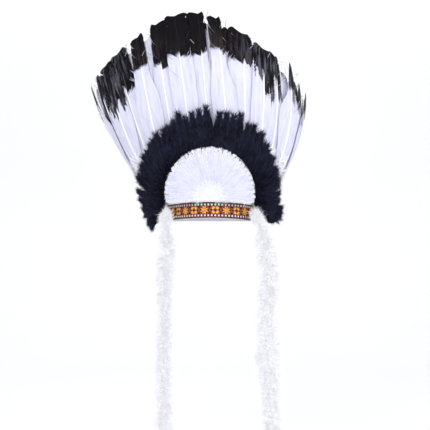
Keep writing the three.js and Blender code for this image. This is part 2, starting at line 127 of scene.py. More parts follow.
# A tall feather. reach: share of the fan's length. sway: degrees of turn at its tip.
# dark_left and dark_right: metres of dark tip on the viewer's left and right of the shaft.
# taper: the share of its length over which the tip narrows.
# left and right: the vane's width on each side near the tip, as a share of its full width.
Feather = namedtuple(
    "Feather", "reach sway dark_left dark_right taper left right", defaults=(1.0, 1.0)
)
FRONT_ROW = [
    Feather(0.94, 0, 0.144, 0.132, 0.42, 0.8, 0.7),
    Feather(0.96, -0.4, 0.144, 0.05, 0.36, 0.6, 0.32),
    Feather(0.99, -0.6, 0.12, 0.06, 0.3, 0.36, 0.8),
    Feather(0.99, 0, 0.108, 0.102, 0.14),
    Feather(1, -1.5, 0.084, 0.091, 0.06),
    Feather(0.99, 1.5, 0.066, 0.066, 0.06, 0.75, 0.6),
    Feather(1, 1, 0.085, 0.094, 0.05, 0.62, 1),
    Feather(1, 0, 0.082, 0.089, 0.045),
    Feather(1, 0.6, 0.09, 0.084, 0.045, 1, 0.46),
    Feather(0.985, -2, 0.067, 0.072, 0.05, 0.74, 0.42),
    Feather(0.965, 0.6, 0.066, 0.066, 0.06, 1.3, 1),
    Feather(0.945, 1.5, 0.058, 0.1, 0.06),
    Feather(0.965, -1, 0.054, 0.084, 0.12, 0.9, 0.42),
    Feather(1, 0.2, 0.062, 0.07, 0.34, 0.45, 0.5),
    Feather(0.93, 0.6, 0.07, 0.06, 0.4, 0.6, 0.7),
    Feather(0.9, 0.4, 0.06, 0.108, 0.42),
    Feather(0.88, 0, 0.12, 0.12, 0.44),
]
BACK_ROW = [
    Feather(0.92, 0.3, 0.06, 0, 0.3),
    Feather(0.93, -0.4, 0, 0.02, 0.25),
    Feather(0.94, 0.5, 0.03, 0.084, 0.2),
    Feather(0.955, 0, 0.072, 0.06, 0.12),
    Feather(0.96, 0.6, 0, 0, 0.1),
    Feather(0.96, -0.8, 0, 0, 0.1),
    Feather(0.975, 0.5, 0.072, 0.072, 0.08),
    Feather(0.99, 0, 0.066, 0.072, 0.05),
    Feather(0.965, -1, 0.024, 0, 0.1),
    Feather(0.955, 0.8, 0.055, 0, 0.1),
    Feather(0.945, 0, 0.06, 0.054, 0.1),
    Feather(0.945, 0.4, 0.054, 0.048, 0.1),
    Feather(0.92, -0.5, 0, 0.01, 0.14),
    Feather(0.92, 0, 0, 0.06, 0.3),
    Feather(0.89, 0.5, 0.024, 0.072, 0.35),
    Feather(0.87, 0, 0.072, 0.072, 0.35),
]
TURN_STEP = 2 * FAN_TURN / (len(FRONT_ROW) - 1)

# The ruff from its top to a temple end, as in the source of the solids.
RUFF_FOOT = 0.1
RUFF_TOP = 0.206
RUFF_PUFF = 0.043
RUFF_CORE = 0.004
RUFF_CURL = 0.008
RUFF_BUNCH_PULL = 0.18
RUFF_SEED = 17
RUFF_GAPS = [-1, -0.87, -0.73, -0.59, -0.4, -0.255, 0.015, 0.165, 0.3, 0.43, 0.57, 0.71, 1.01]
RUFF_COLUMNS = {
    "foot_turn": [0, 12, 24, 34, 42, 50, 60, 69, 75, 76],
    "foot": [1.0, 0.985, 0.92, 0.82, 0.72, 0.58, 0.44, 0.3, 0.16, 0.06],
    "tip_turn": [0, 12, 23, 33, 43, 57, 76, 85, 88, 84],
    "tip": [1.0, 0.95, 0.83, 0.705, 0.58, 0.435, 0.315, 0.235, 0.1, -0.02],
    "out": [0.6, 0.6, 0.65, 0.7, 0.72, 0.68, 0.7, 0.86, 0.95, 0.85],
}

# Crest
CREST_HALF_WIDTH = 0.082
CREST_RISE = 0.094
CREST_MIDDLE = 0.032
CREST_PUFF = 0.03
CREST_ROOT = 0.06
CREST_END = 90 + np.degrees(np.arcsin(0.45))
CREST_WALL = 0.0016
CREST_VANE_WALL = 0.0005
CREST_SEED = 29

# Drops
DROP_LENGTH = 0.44
DROP_TURN = 55
DROP_SEAT_RISE = 0.02
DROP_ELBOW = 0.005
DROP_SEAT_OUT = 0.01
DROP_SWING = 0.033
DROP_SEED = 51
GOLDEN_ANGLE = 2.39996
Drop = namedtuple("Drop", "side radius full down sideways forward wide")
DROPS = {
    "drop_left": Drop(
        side=-1,
        radius=0.018,
        full=0.95,
        down=[0, 0.05, 0.13, 0.24, 0.34, 0.45, 0.58, 0.72, 0.86, 0.96, 1],
        sideways=[0, -0.06, -0.03, 0.06, 0.12, 0.09, 0.15, 0.12, 0.15, 0.12, 0.12],
        forward=[0, -0.09, -0.03, 0.09, 0.15, 0.15, 0.12, 0.09, 0.06, 0.06, 0.06],
        wide=[0.5, 0.72, 0.92, 0.95, 0.76, 0.9, 0.86, 0.95, 0.96, 0.7, 0.3],
    ),
    "drop_right": Drop(
        side=1,
        radius=0.022,
        full=1.16,
        down=[0, 0.05, 0.13, 0.25, 0.33, 0.45, 0.57, 0.7, 0.84, 0.95, 1],
        sideways=[0, 0.45, 0.76, 0.88, 0.73, 0.76, 0.79, 0.96, 1, 1, 1],
        forward=[0, -0.06, 0, 0.12, 0.18, 0.18, 0.15, 0.12, 0.09, 0.09, 0.09],
        wide=[0.45, 0.66, 0.76, 1.0, 0.74, 1.16, 0.98, 0.68, 0.76, 0.64, 0.28],
    ),
}

# The stage: a square light's place, the point that it faces and its side, then the backdrop
LIGHTS = {
    "key": ((-0.9, -2.6, 1.5), (0, 0, 0), 1.8),
    "fill": ((1.8, -1.8, 0.7), (0, 0, 0), 1.6),
    "back": ((0, 0.6, 2.4), (0, 1.8, 0.2), 2.4),
}
SENSOR_WIDTH = 36
BACKDROP_BEND = 0.7
BACKDROP_NEAR = -3.5
BACKDROP_DEPTH = 1.6
BACKDROP_TOP = 4.5
BACKDROP_HALF_WIDTH = 5


# Curved surfaces that every piece lies on


def smoothstep(value, low, high):
    """Rises from 0 at low to 1 at high with level ends."""
    share = np.clip((value - low) / (high - low), 0, 1)
    return share * share * (3 - 2 * share)


def unit(vectors):
    """Each vector divided by its length."""
    return vectors / np.maximum(np.linalg.norm(vectors, axis=-1, keepdims=True), 1e-9)


def arch_rise(turn):
    """How far the band stands above its level back: the square of the turn's cosine."""
    return BROW_ARCH * np.maximum(0, np.cos(np.radians(turn))) ** 2


def bent_rise(turn, rise):
    """The height above the bend, and how far the bend has turned there, from 0 to 1."""
    above = np.maximum(0, rise - BAND_HEIGHT - arch_rise(turn))
    bent = np.where(above < BEND_RISE, above**2 / (2 * BEND_RISE), above - BEND_RISE / 2)
    return bent, np.minimum(1, above / BEND_RISE)


def shell_point(turn, rise, out):
    """A point of the backing.

    In plan it is an ellipse whose half widths grow by the flare and shrink by the lean with the
    height above the bend. The point then moves out along the surface's normal.
    """
    turn, rise, out = np.broadcast_arrays(*(np.asarray(v, float) for v in (turn, rise, out)))
    bent, slope = bent_rise(turn, rise)
    sin, cos = np.sin(np.radians(turn)), np.cos(np.radians(turn))
    half_x = INNER_X + FLARE_SLOPE * bent
    half_y = INNER_Y - LEAN_SLOPE * bent
    across = np.stack([half_x * cos, half_y * sin, np.zeros_like(sin)], -1)
    up = np.stack([FLARE_SLOPE * slope * sin, LEAN_SLOPE * slope * cos, np.ones_like(sin)], -1)
    normal = unit(np.cross(across, up))
    return np.stack([half_x * sin, -half_y * cos, rise], -1) + normal * out[..., None]


def seat_rise(turn):
    """The height of the quill ends: highest over the brow, falling with the cosine of the turn."""
    return SEAT_SIDE + (SEAT_FRONT - SEAT_SIDE) * np.maximum(0, np.cos(np.radians(turn)))


def fan_point(turn, along):
    """A point of the fan: a quadratic curve from the quill's seat, up the backing, to the tip."""
    turn, along = np.broadcast_arrays(np.asarray(turn, float), np.asarray(along, float))
    sin, cos = np.sin(np.radians(turn)), np.cos(np.radians(turn))
    foot = shell_point(turn, seat_rise(turn), SEAT_OUT)
    start = unit(shell_point(turn, seat_rise(turn) + 0.001, SEAT_OUT) - foot)
    front = np.maximum(0, cos)
    bend = foot + start * (FAN_BOW + (FAN_MIDDLE_BOW - FAN_BOW) * front**2)[..., None]
    height = FAN_SIDE + (FAN_TOP - FAN_SIDE) * front**FAN_SHAPE
    depth = FAN_TOP_DEPTH + FAN_WRAP * (1 - cos)
    tip = np.stack([FAN_HALF_WIDTH * sin - FAN_SWAY, depth, height], -1)
    t = along[..., None]
    return foot * (1 - t) ** 2 + bend * 2 * t * (1 - t) + tip * t**2


def degree_width(turn, along):
    """The width of one degree of the fan at a share of its length."""
    return np.linalg.norm(fan_point(turn + 0.5, along) - fan_point(turn - 0.5, along), axis=-1)


def vane_point(turn, along, across, lift):
    """The fan's point that lies a distance across from a shaft, lifted along the fan's normal."""
    there = turn + across / degree_width(turn, along)
    across_way = fan_point(there + 0.5, along) - fan_point(there - 0.5, along)
    along_way = fan_point(there, along + 0.01) - fan_point(there, along - 0.01)
    normal = unit(np.cross(across_way, along_way))
    return fan_point(there, along) + normal * np.asarray(lift)[..., None]


def crest_out(share):
    """How far the crest stands off the backing: a quarter wave from its root to its rim."""
    bow = np.sin((share - CREST_ROOT) / (1 - CREST_ROOT) * np.pi / 2)
    return BACKING_WALL + CLOTH_GAP + CREST_PUFF * bow


def crest_point(angle, share, out):
    """The crest in a polar grid: an angle round the brow's middle, and a share of the way out."""
    rim_x = CREST_HALF_WIDTH * np.sin(np.radians(angle))
    rim_z = BAND_HEIGHT + CREST_MIDDLE + (CREST_RISE - CREST_MIDDLE) * np.cos(np.radians(angle))
    root_z = BAND_HEIGHT + BROW_ARCH + CREST_WALL
    rise = root_z + (rim_z - root_z) * share

    def closer(turn):
        half_x = INNER_X + FLARE_SLOPE * bent_rise(turn, rise)[0] + out
        return np.degrees(np.arcsin(np.clip(rim_x * share / half_x, -1, 1)))

    return shell_point(closer(closer(0.0)), rise, out)


# Meshes

NOT_DARK = -50.0
STRAND_SPREAD = 900


def grid_quads(patches, columns, rows):
    """The quads of equal grids of points, numbered patch by patch, column by column."""
    p, c, r = np.meshgrid(
        np.arange(patches), np.arange(columns - 1), np.arange(rows - 1), indexing="ij"
    )
    low = (p * columns + c) * rows + r
    return np.stack([low, low + rows, low + rows + 1, low + 1], -1).reshape(-1, 4)


class Patchwork:
    """Collects grids of points, their faces and what their materials read, into one mesh.

    The UV map holds barbs across and a share along each barb. dark is how many millimetres a
    point lies inside a dark tip, and shade is a chance number for each barb or clump. look holds
    either of them, and the number of the material's slot.
    """

    def __init__(self):
        self.points, self.quads, self.uv = [], [], []
        self.dark, self.shade, self.slots = [], [], []
        self.total = 0

    def add(self, points, quads, uv, dark=NOT_DARK, shade=0.5, slot=0):
        shape = points.shape[:-1]
        self.points.append(points.reshape(-1, 3))
        self.quads.append(quads + self.total)
        self.uv.append(np.broadcast_to(uv, shape + (2,)).reshape(-1, 2))
        self.dark.append(np.broadcast_to(dark, shape).ravel())
        self.shade.append(np.broadcast_to(shade, shape).ravel())
        self.slots.append(np.full(len(quads), slot))
        self.total += points.size // 3

    def add_sheets(self, points, uv, **look):
        """Open grids: points has the shape patches, columns, rows, 3."""
        self.add(points, grid_quads(*points.shape[:3]), uv, **look)

    def add_shells(self, points, wall, uv, dark=NOT_DARK, shade=0.5):
        """Closed walls: each grid is moved half the wall both ways along its normal, and edged."""
        patches, columns, rows = points.shape[:3]
        across = np.gradient(points, axis=1)
        along = np.gradient(points, axis=2)
        normal = unit(np.cross(across, along)) * wall / 2
        both = np.stack([points + normal, points - normal])
        count = patches * columns * rows
        front = grid_quads(patches, columns, rows)
        back = front[:, ::-1] + count
        corner = np.arange(count).reshape(patches, columns, rows)
        rim = np.concatenate(
            [corner[:, :, 0], corner[:, -1, 1:], corner[:, -2::-1, -1], corner[:, 0, -2:0:-1]],
            axis=1,
        )
        after = np.roll(rim, -1, axis=1)
        edge = np.stack([after, rim, rim + count, after + count], -1).reshape(-1, 4)
        dark, shade = (np.stack([np.broadcast_to(v, points.shape[:3])] * 2) for v in (dark, shade))
        uv = np.stack([np.broadcast_to(uv, points.shape[:3] + (2,))] * 2)
        self.add(both, np.concatenate([front, back, edge]), uv, dark, shade)

    def add_tubes(self, centres, side, forward, sides, uv, **look):
        """Closed bars: at each centre a ring of points between two half axes, with flat ends."""
        bars, rings = centres.shape[:2]
        angle = np.arange(sides) * 2 * np.pi / sides
        points = (
            centres[:, :, None]
            + side[:, :, None] * np.cos(angle)[:, None]
            + forward[:, :, None] * np.sin(angle)[:, None]
        )
        bar, ring, j = np.meshgrid(
            np.arange(bars), np.arange(rings - 1), np.arange(sides), indexing="ij"
        )
        low = (bar * rings + ring) * sides
        k = (j + 1) % sides
        walls = np.stack([low + j, low + k, low + k + sides, low + j + sides], -1).reshape(-1, 4)
        j = np.arange(sides // 2 - 1)
        cap = np.stack([j, j + 1, sides - 2 - j, sides - 1 - j], -1)
        first = np.arange(bars)[:, None, None] * rings * sides
        starts = (cap[None, :, ::-1] + first).reshape(-1, 4)
        ends = (cap[None] + first + (rings - 1) * sides).reshape(-1, 4)
        quads = np.concatenate([walls, starts, ends])
        outward = np.cross(points[:, 0, 1] - points[:, 0, 0], points[:, 1, 0] - points[:, 0, 0])
        if np.mean(np.sum(outward * (points[:, 0, 0] - centres[:, 0]), -1)) < 0:
            quads = quads[:, ::-1]
        self.add(points, quads, uv, **look)

    def add_strands(self, rng, root, way, length, width, shades=(0, 1), dark=NOT_DARK, slot=0):
        """Single barbs: flat strips that bend from a first direction to a second and taper.

        root is strands by 3. way holds the first direction, the second one and the flat side's,
        each strands by 3. A point at share r lies length * (first * (r - r * r / 2) + second *
        r * r / 2) from its root. shades is the range of the barbs' chance numbers.
        """
        first, second, facing = way
        count = len(root)
        start = rng.uniform(0, STRAND_SPREAD, count)[:, None, None]
        shade = rng.uniform(*shades, count)[:, None, None]
        r = np.array([0, 0.5, 1.0])[:, None]
        bent = first[:, None] * (r - r**2 / 2) + second[:, None] * (r**2 / 2)
        centres = root[:, None] + bent * length[:, None, None]
        tangent = first[:, None] * (1 - r) + second[:, None] * r
        across = unit(np.cross(tangent, facing[:, None]))
        taper = np.array([0.8, 1.0, 0.15])[:, None]
        half = across * taper * np.asarray(width).reshape(-1, 1, 1) / 2
        points = np.stack([centres - half, centres + half], 1)
        uv = np.stack(np.broadcast_arrays(start + [[0], [1]], r[:, 0]), -1)
        dark = np.broadcast_to(dark, count)[:, None, None]
        self.add_sheets(points, uv, dark=dark, shade=shade, slot=slot)

    def build(self, name, materials, sharp=True):
        points, quads = np.concatenate(self.points), np.concatenate(self.quads)
        corners = quads.ravel()
        mesh = bpy.data.meshes.new(name)
        for material in materials:
            mesh.materials.append(material)
        mesh.vertices.add(len(points))
        mesh.vertices.foreach_set("co", points.astype(np.float32).ravel())
        mesh.loops.add(len(corners))
        mesh.loops.foreach_set("vertex_index", corners.astype(np.int32))
        mesh.polygons.add(len(quads))
        mesh.polygons.foreach_set("loop_start", np.arange(0, len(corners), 4, dtype=np.int32))
        mesh.polygons.foreach_set("material_index", np.concatenate(self.slots).astype(np.int32))
        mesh.update(calc_edges=True)
        layer = mesh.uv_layers.new(name="barbs")
        uv = np.concatenate(self.uv)[corners]
        layer.uv.foreach_set("vector", uv.astype(np.float32).ravel())
        for key, values in (("dark", self.dark), ("shade", self.shade)):
            attribute = mesh.attributes.new(key, "FLOAT", "POINT")
            attribute.data.foreach_set("value", np.concatenate(values).astype(np.float32))
        mesh.shade_smooth()
        if sharp:
            mesh.set_sharp_from_angle(angle=np.radians(55))
        mesh.validate()
        piece = bpy.data.objects.new(name, mesh)
        bpy.context.scene.collection.objects.link(piece)
        return piece


def seat(piece, slot, *nodes):
    """Puts a piece on the one body, in the place of the solids that it stands for."""
    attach(piece, "root")
    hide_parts(*nodes)
    return piece


# Materials


class Socket:
    """A number in a material: an expression on sockets adds the Math nodes that work it out."""

    def __init__(self, finish, socket):
        self.finish, self.socket = finish, socket

    def math(self, operation, *values, clamp=False):
        settings = {"operation": operation, "use_clamp": clamp}
        return self.finish.node("ShaderNodeMath", settings, dict(enumerate(values)))[0]

    def __add__(self, other):
        return self.math("ADD", self, other)

    def __sub__(self, other):
        return self.math("SUBTRACT", self, other)

    def __mul__(self, other):
        return self.math("MULTIPLY", self, other)

    def __rsub__(self, other):
        return self.math("SUBTRACT", other, self)

    def __pow__(self, other):
        return self.math("POWER", self, other)

    def __abs__(self):
        return self.math("ABSOLUTE", self)

    __radd__, __rmul__ = __add__, __mul__

    def most(self, other):
        return self.math("MAXIMUM", self, other)

    def clamped(self):
        return self.math("ADD", self, 0, clamp=True)

    def repeat(self, period):
        """How far the number lies from the nearest whole multiple of a period."""
        return abs(self.math("WRAP", self, period / 2, -period / 2))

    def step(self, low, high):
        """Rises from 0 at low to 1 at high with level ends, or falls where low is the greater."""
        if low > high:
            return 1 - self.step(high, low)
        inputs = {"Value": self, "From Min": low, "From Max": high}
        settings = {"interpolation_type": "SMOOTHSTEP"}
        return self.finish.node("ShaderNodeMapRange", settings, inputs)["Result"]


class Outputs:
    """A node's outputs by name or number, as sockets for expressions."""

    def __init__(self, finish, node):
        self.finish, self.node = finish, node

    def __getitem__(self, key):
        return Socket(self.finish, self.node.outputs[key])


class Finish:
    """One material, with its node tree."""

    def __init__(self, name):
        self.material = bpy.data.materials.new(name)
        self.material.use_nodes = True
        self.tree = self.material.node_tree
        self.tree.nodes.clear()

    def node(self, kind, settings=None, inputs=None):
        """Adds a node: its settings first, then the values or links of its inputs."""
        made = self.tree.nodes.new(kind)
        for key, value in (settings or {}).items():
            setattr(made, key, value)
        for key, value in (inputs or {}).items():
            if isinstance(value, Socket):
                self.tree.links.new(value.socket, made.inputs[key])
            else:
                made.inputs[key].default_value = value
        return Outputs(self, made)

    def mix(self, factor, low, high):
        """A colour between two: low where the factor is 0, high where it is 1."""
        low, high = (v if isinstance(v, Socket) else (*v, 1) for v in (low, high))
        settings = {"data_type": "RGBA", "clamp_factor": True}
        return self.node("ShaderNodeMix", settings, {0: factor, 6: low, 7: high})[2]

    def noise(self, vector, scale, detail=2.0, rough=0.5, distortion=0.0):
        inputs = {"Vector": vector, "Scale": scale, "Detail": detail, "Roughness": rough}
        inputs["Distortion"] = distortion
        return self.node("ShaderNodeTexNoise", None, inputs)["Fac"]

    def scaled(self, vector, factors):
        settings = {"operation": "MULTIPLY"}
        return self.node("ShaderNodeVectorMath", settings, {0: vector, 1: factors})[0]

    def attribute(self, name):
        return self.node("ShaderNodeAttribute", {"attribute_name": name})["Fac"]

    def barbs(self):
        """The UV map as a vector, and its two parts: barbs across, and the share along a barb."""
        vector = self.node("ShaderNodeUVMap", {"uv_map": "barbs"})[0]
        parts = self.node("ShaderNodeSeparateXYZ", None, {0: vector})
        return vector, parts["X"], parts["Y"]

    def place(self):
        return self.node("ShaderNodeTexCoord")["Object"]

    def bump(self, height, distance, strength=1.0):
        inputs = {"Height": height, "Distance": distance, "Strength": strength}
        return self.node("ShaderNodeBump", None, inputs)["Normal"]

    def finish(self, colour, roughness, normal=None, **constants):
        """The surface: colour, roughness and normal may vary, and the constants don't."""
        inputs = {"Base Color": colour, "Roughness": roughness}
        if normal is not None:
            inputs["Normal"] = normal
        inputs.update({key.replace("_", " "): value for key, value in constants.items()})
        shader = self.node("ShaderNodeBsdfPrincipled", None, inputs)
        self.node("ShaderNodeOutputMaterial", None, {"Surface": shader["BSDF"]})
        return self.material


def vane_finish(colours):
    """A vane: white, with dark tips whose ragged edge follows the barbs, and fine barb lines.

    Soft streaks run up the feather, beside its shaft. The tips are blackest left of the middle,
    browner next to that, and at the fan's sides they break up into long grey fingers.
    """
    f = Finish("vane")
    vector, barb, share = f.barbs()
    dark, shade = f.attribute("dark"), f.attribute("shade")
    clump = f.noise(f.scaled(vector, (0.05, 0.5, 1)), 1, 2)
    strand = f.noise(f.scaled(vector, (0.45, 0.3, 1)), 1, 2)
    fine = f.noise(f.scaled(vector, (1.7, 0.6, 1)), 1, 1)
    upright = f.noise(f.scaled(vector, (0.014, 4.5, 1)), 1, 3)
    beside = abs(f.node("ShaderNodeSeparateXYZ", None, {0: f.place()})["X"] + 0.044)
    outer = beside.step(0.085, 0.135)
    edge = dark + (clump - 0.5) * 20 + (strand - 0.5) * 18 + (fine - 0.5) * 12
    edge = edge + (upright - 0.5) * (outer * 130)
    tip = edge.step(-2, 2)
    streak = (upright * 0.8 + strand * 0.2).step(0.42, 0.66)
    white = f.mix(streak, colours.vane, colours.vane_shade)
    white = f.mix(dark.step(-24, -2) * fine.step(0.52, 0.66) * 0.3, white, colours.vane_grey)
    brown = (upright * 0.85 + shade * 0.15).step(0.42, 0.62) * dark.step(75, 10)
    much = beside.step(0.03, 0.042) * 0.72 - outer * 0.45 + 0.22
    dusk = f.mix(brown * much, colours.tip, colours.tip_brown)
    dusk = f.mix(upright.step(0.46, 0.64) * outer * 0.3, dusk, colours.vane_grey)
    pale = strand.step(0.7, 0.76) * share.step(0.1, 0.6)
    dusk = f.mix(pale * 0.2, dusk, colours.tip_pale)
    colour = f.mix(tip, white, dusk)
    line = f.node("ShaderNodeMath", {"operation": "PINGPONG"}, {0: barb, 1: 0.5})[0]
    normal = f.bump(line * 0.7 + strand, 0.0002, 0.5)
    return f.finish(colour, 0.6 - tip * 0.1, normal, Specular_IOR_Level=0.06)


def shaft_finish(colours):
    """A shaft: smooth and horny, a little yellow towards its quill and dark inside the tip."""
    f = Finish("shaft")
    vector, barb, share = f.barbs()
    mottle = f.noise(f.place(), 60, 3)
    horn = f.mix(share.step(0.3, 0.05), colours.shaft, colours.quill)
    colour = f.mix(mottle.step(0.45, 0.7) * 0.15, horn, colours.vane)
    colour = f.mix(f.attribute("dark").step(-6, 6), colour, colours.shaft_tip)
    normal = f.bump(mottle, 0.0002, 0.3)
    return f.finish(colour, 0.36 + mottle * 0.1, normal, Specular_IOR_Level=0.1)


def down_finish(name, light, deep, painted_highlight, specular, painted_glow, mottle=0.25):
    """Down: each barb has its own tone, mixed from a shaded copy partly at random and partly as
    painted shade, and paler towards its end with a painted highlight. A painted glow stands in for
    light passing through white down.
    """
    f = Finish(name)
    vector, barb, share = f.barbs()
    shade = f.attribute("shade")
    cloud = f.noise(f.place(), 45, 2)
    # tone mixes in deep, a shaded copy of the colour: a random tone for each barb, and in clouds a
    # painted shade
    tone = (shade * (1 - mottle) + cloud.step(0.3, 0.7) * mottle).clamped()
    colour = f.mix(tone, deep, light)
    # Each barb is lightened towards its end: a painted highlight
    colour = f.mix(share.step(0.4, 1.0) * 0.5, colour, painted_highlight)
    normal = f.bump(f.noise(f.scaled(vector, (1, 9, 1)), 3, 1), 0.0002, 0.4)
    # Emission in the down's own colour is a painted glow: the down glows though it is no lamp
    return f.finish(
        colour, 0.62 + tone * 0.2, normal, Specular_IOR_Level=specular, Emission_Color=colour,
        Emission_Strength=painted_glow,
    )


def felt_finish(name, colour, fibre):
    """Felt: short crossing fibres and a soft cloud of wear."""
    f = Finish(name)
    place = f.place()
    cloud = f.noise(place, 35, 3)
    fibres = f.noise(place, 900, 4, 0.7, 1.5)
    shade = f.mix((cloud * 0.4 + fibres * 0.6).step(0.35, 0.7), fibre, colour)
    return f.finish(shade, 0.9 + cloud * 0.08, f.bump(fibres, 0.0004, 0.8), Sheen_Weight=0.3)


def ribbon_finish(colours):
    """The ribbon's chart, in millimetres along and up from its middle.

    Each edge is a black line, a dark red line, white squares on black and a second dark red line.
    Down the middle, on black, round flowers of four curled petals and stars of eight petals take
    turns, and fine threads cross between them.
    """
    f = Finish("ribbon")
    vector, along, up = f.barbs()
    high = abs(up)
    wave = f.noise(f.scaled(vector, (0.5, 0.5, 1)), 1, 2)
    tone = f.noise(f.scaled(vector, (0.3, 0.9, 1)), 1, 1)
    yarn = along.repeat(0.55) * up.repeat(0.5)

    # The edges
    body = high.step(6.9, 6.7)
    lines = high.step(6.6, 6.9) * high.step(8.0, 7.8)
    lines = lines + high.step(10.8, 11.0) * high.step(12.4, 12.1)
    box = along.repeat(6.2).step(1.75, 1.45) * abs(high - 9.4).step(1.55, 1.3)

    def polar(x, petals):
        """The distance from a motif's middle, and the size of the sine of its angle's multiple."""
        turned = x.math("ARCTAN2", high, x) * petals
        return (x * x + high * high) ** 0.5, abs(turned.math("SINE", turned))

    # Round flowers
    x = along.repeat(2 * CHART_PITCH)
    reach, lobe = polar(x, 2)
    flower = (reach - lobe * 2.1).step(5.5, 5.1) * (reach + lobe * 0.8).step(3.3, 3.9)
    flower = flower * lobe.step(0.22, 0.4)
    stem = x.step(1.5, 1.1) * reach.step(2.4, 3.0) * reach.step(6.4, 6.0)
    curl = abs(reach - 5.2).step(1.1, 0.3) * lobe.step(0.5, 0.9)
    diamond = abs(x + high - 3.3).step(0.8, 0.5)
    seed = (x + high).step(1.5, 1.1)

    # Stars
    x_star = (along - CHART_PITCH).repeat(2 * CHART_PITCH)
    reach_star, petal = polar(x_star, 4)
    star = petal.step(0.25, 0.5).most(reach_star.step(1.6, 1.2))
    star = (reach_star - petal * 3.6).step(3.8, 3.4) * star
    ray = x_star.step(0.9, 0.6) * high.step(6.3, 6.0) + reach_star.step(4.6, 4.2)

    # Threads that cross half way between
    middle = (along - CHART_PITCH / 2).repeat(CHART_PITCH)
    slope = high * 0.62
    thread_gold = abs(middle - slope).step(0.45, 0.25)
    thread_red = abs(abs(middle - slope) - 1.3).step(0.45, 0.25)
    clear = reach.step(7.4, 7.0).most(reach_star.step(7.0, 6.6))

    gold = f.mix(tone.step(0.48, 0.68), colours.orange, colours.yellow)
    red = f.mix(wave.step(0.4, 0.65), colours.red, colours.maroon)
    colour = f.mix((thread_red * body).clamped(), colours.ribbon_black, colours.red)
    colour = f.mix(thread_gold * body * 0.8, colour, colours.thread)
    colour = f.mix(clear * body, colour, colours.ribbon_black)
    colour = f.mix((stem + ray).clamped() * body, colour, colours.red)
    colour = f.mix(flower * body, colour, gold)
    colour = f.mix(curl * flower * body * 0.7, colour, colours.yellow)
    colour = f.mix((diamond + seed * 0.6).clamped() * body, colour, colours.red)
    colour = f.mix(star * body, colour, gold)
    colour = f.mix(lines.clamped(), colour, red)
    colour = f.mix(box, colour, colours.ribbon_white)
    colour = f.mix(yarn.step(0.09, 0.03) * 0.2, colour, colours.ribbon_black)
    raised = (flower + star + box).clamped() * 0.8 + yarn * 6 + wave * 0.3
    # The emission makes the ribbon glow a little in its own colours: a painted glow that brightens
    # it
    return f.finish(
        colour, 0.62 + wave * 0.15, f.bump(raised, 0.0003, 0.6), Sheen_Weight=0.05,
        Specular_IOR_Level=0.15, Emission_Color=colour, Emission_Strength=0.1,
    )


# Tall feathers


def vane_profile(at, taper):
    """Half width of a vane as a share of its widest: a quick rise, then a squared round end.

    taper is the share of the length over which the end narrows, and a long one is pointed too.
    """
    rise = 1 - (1 - np.clip((at - 0.1) / 0.52, 0, 1)) ** 2.2
    power = max(1.25, 4.6 - 8.5 * taper)
    end = (1 - np.clip((at - 1 + taper) / taper, 0, 1) ** power) ** (1 / power)
    return (0.1 + 0.9 * rise) * end


class FeatherLine:
    """One tall feather's own coordinates on the fan: at, from quill to tip, across, and lift."""

    def __init__(self, turn, layer, feather, sizes):
        self.turn, self.layer, self.feather, self.sizes = turn, layer, feather, sizes
        self.stations = np.linspace(0, 1, 60)
        steps = np.diff(fan_point(turn, self.stations * feather.reach), axis=0)
        self.travelled = np.concatenate([[0], np.cumsum(np.linalg.norm(steps, axis=1))])
        self.length = self.travelled[-1]

    def dark(self, at, dark_length):
        """How many millimetres a point lies inside a dark tip, along the shaft."""
        left = self.length - np.interp(at, self.stations, self.travelled)
        return (dark_length - left) * 1000

    def point(self, at, across, lift):
        """Layers part beyond the quills, and each vane falls away from its shaft."""
        at, across, lift = np.broadcast_arrays(at, across, lift)
        along = at * self.feather.reach
        here = self.turn + self.feather.sway * along**2
        apart = smoothstep(along, QUILL_END, VANE_START)
        camber = VANE_CAMBER * (across / self.sizes.vane_half) ** 2
        rise = apart * (self.layer * ROW_PITCH + VANE_CAMBER - camber)
        return vane_point(here, along, across, rise + lift)

    def half(self, at, share=1.0):
        """The vane's half width, which comes down to a share of it in the last third."""
        along = at * self.feather.reach
        room = 0.95 * TURN_STEP * degree_width(self.turn, along)
        narrow = 1 - (1 - share) * smoothstep(at, 0.6, 0.8)
        profile = vane_profile(at, self.feather.taper)
        return np.minimum(self.sizes.vane_half, room) * profile * narrow

    def frame(self, at, lift):
        """Unit vectors across, along and out of the vane at its shaft."""
        here = self.point(at, 0.0, lift)
        across = unit(self.point(at, 0.0005, lift) - here)
        along = unit(self.point(at + 0.004, 0.0, lift) - here)
        return across, along, unit(np.cross(across, along))


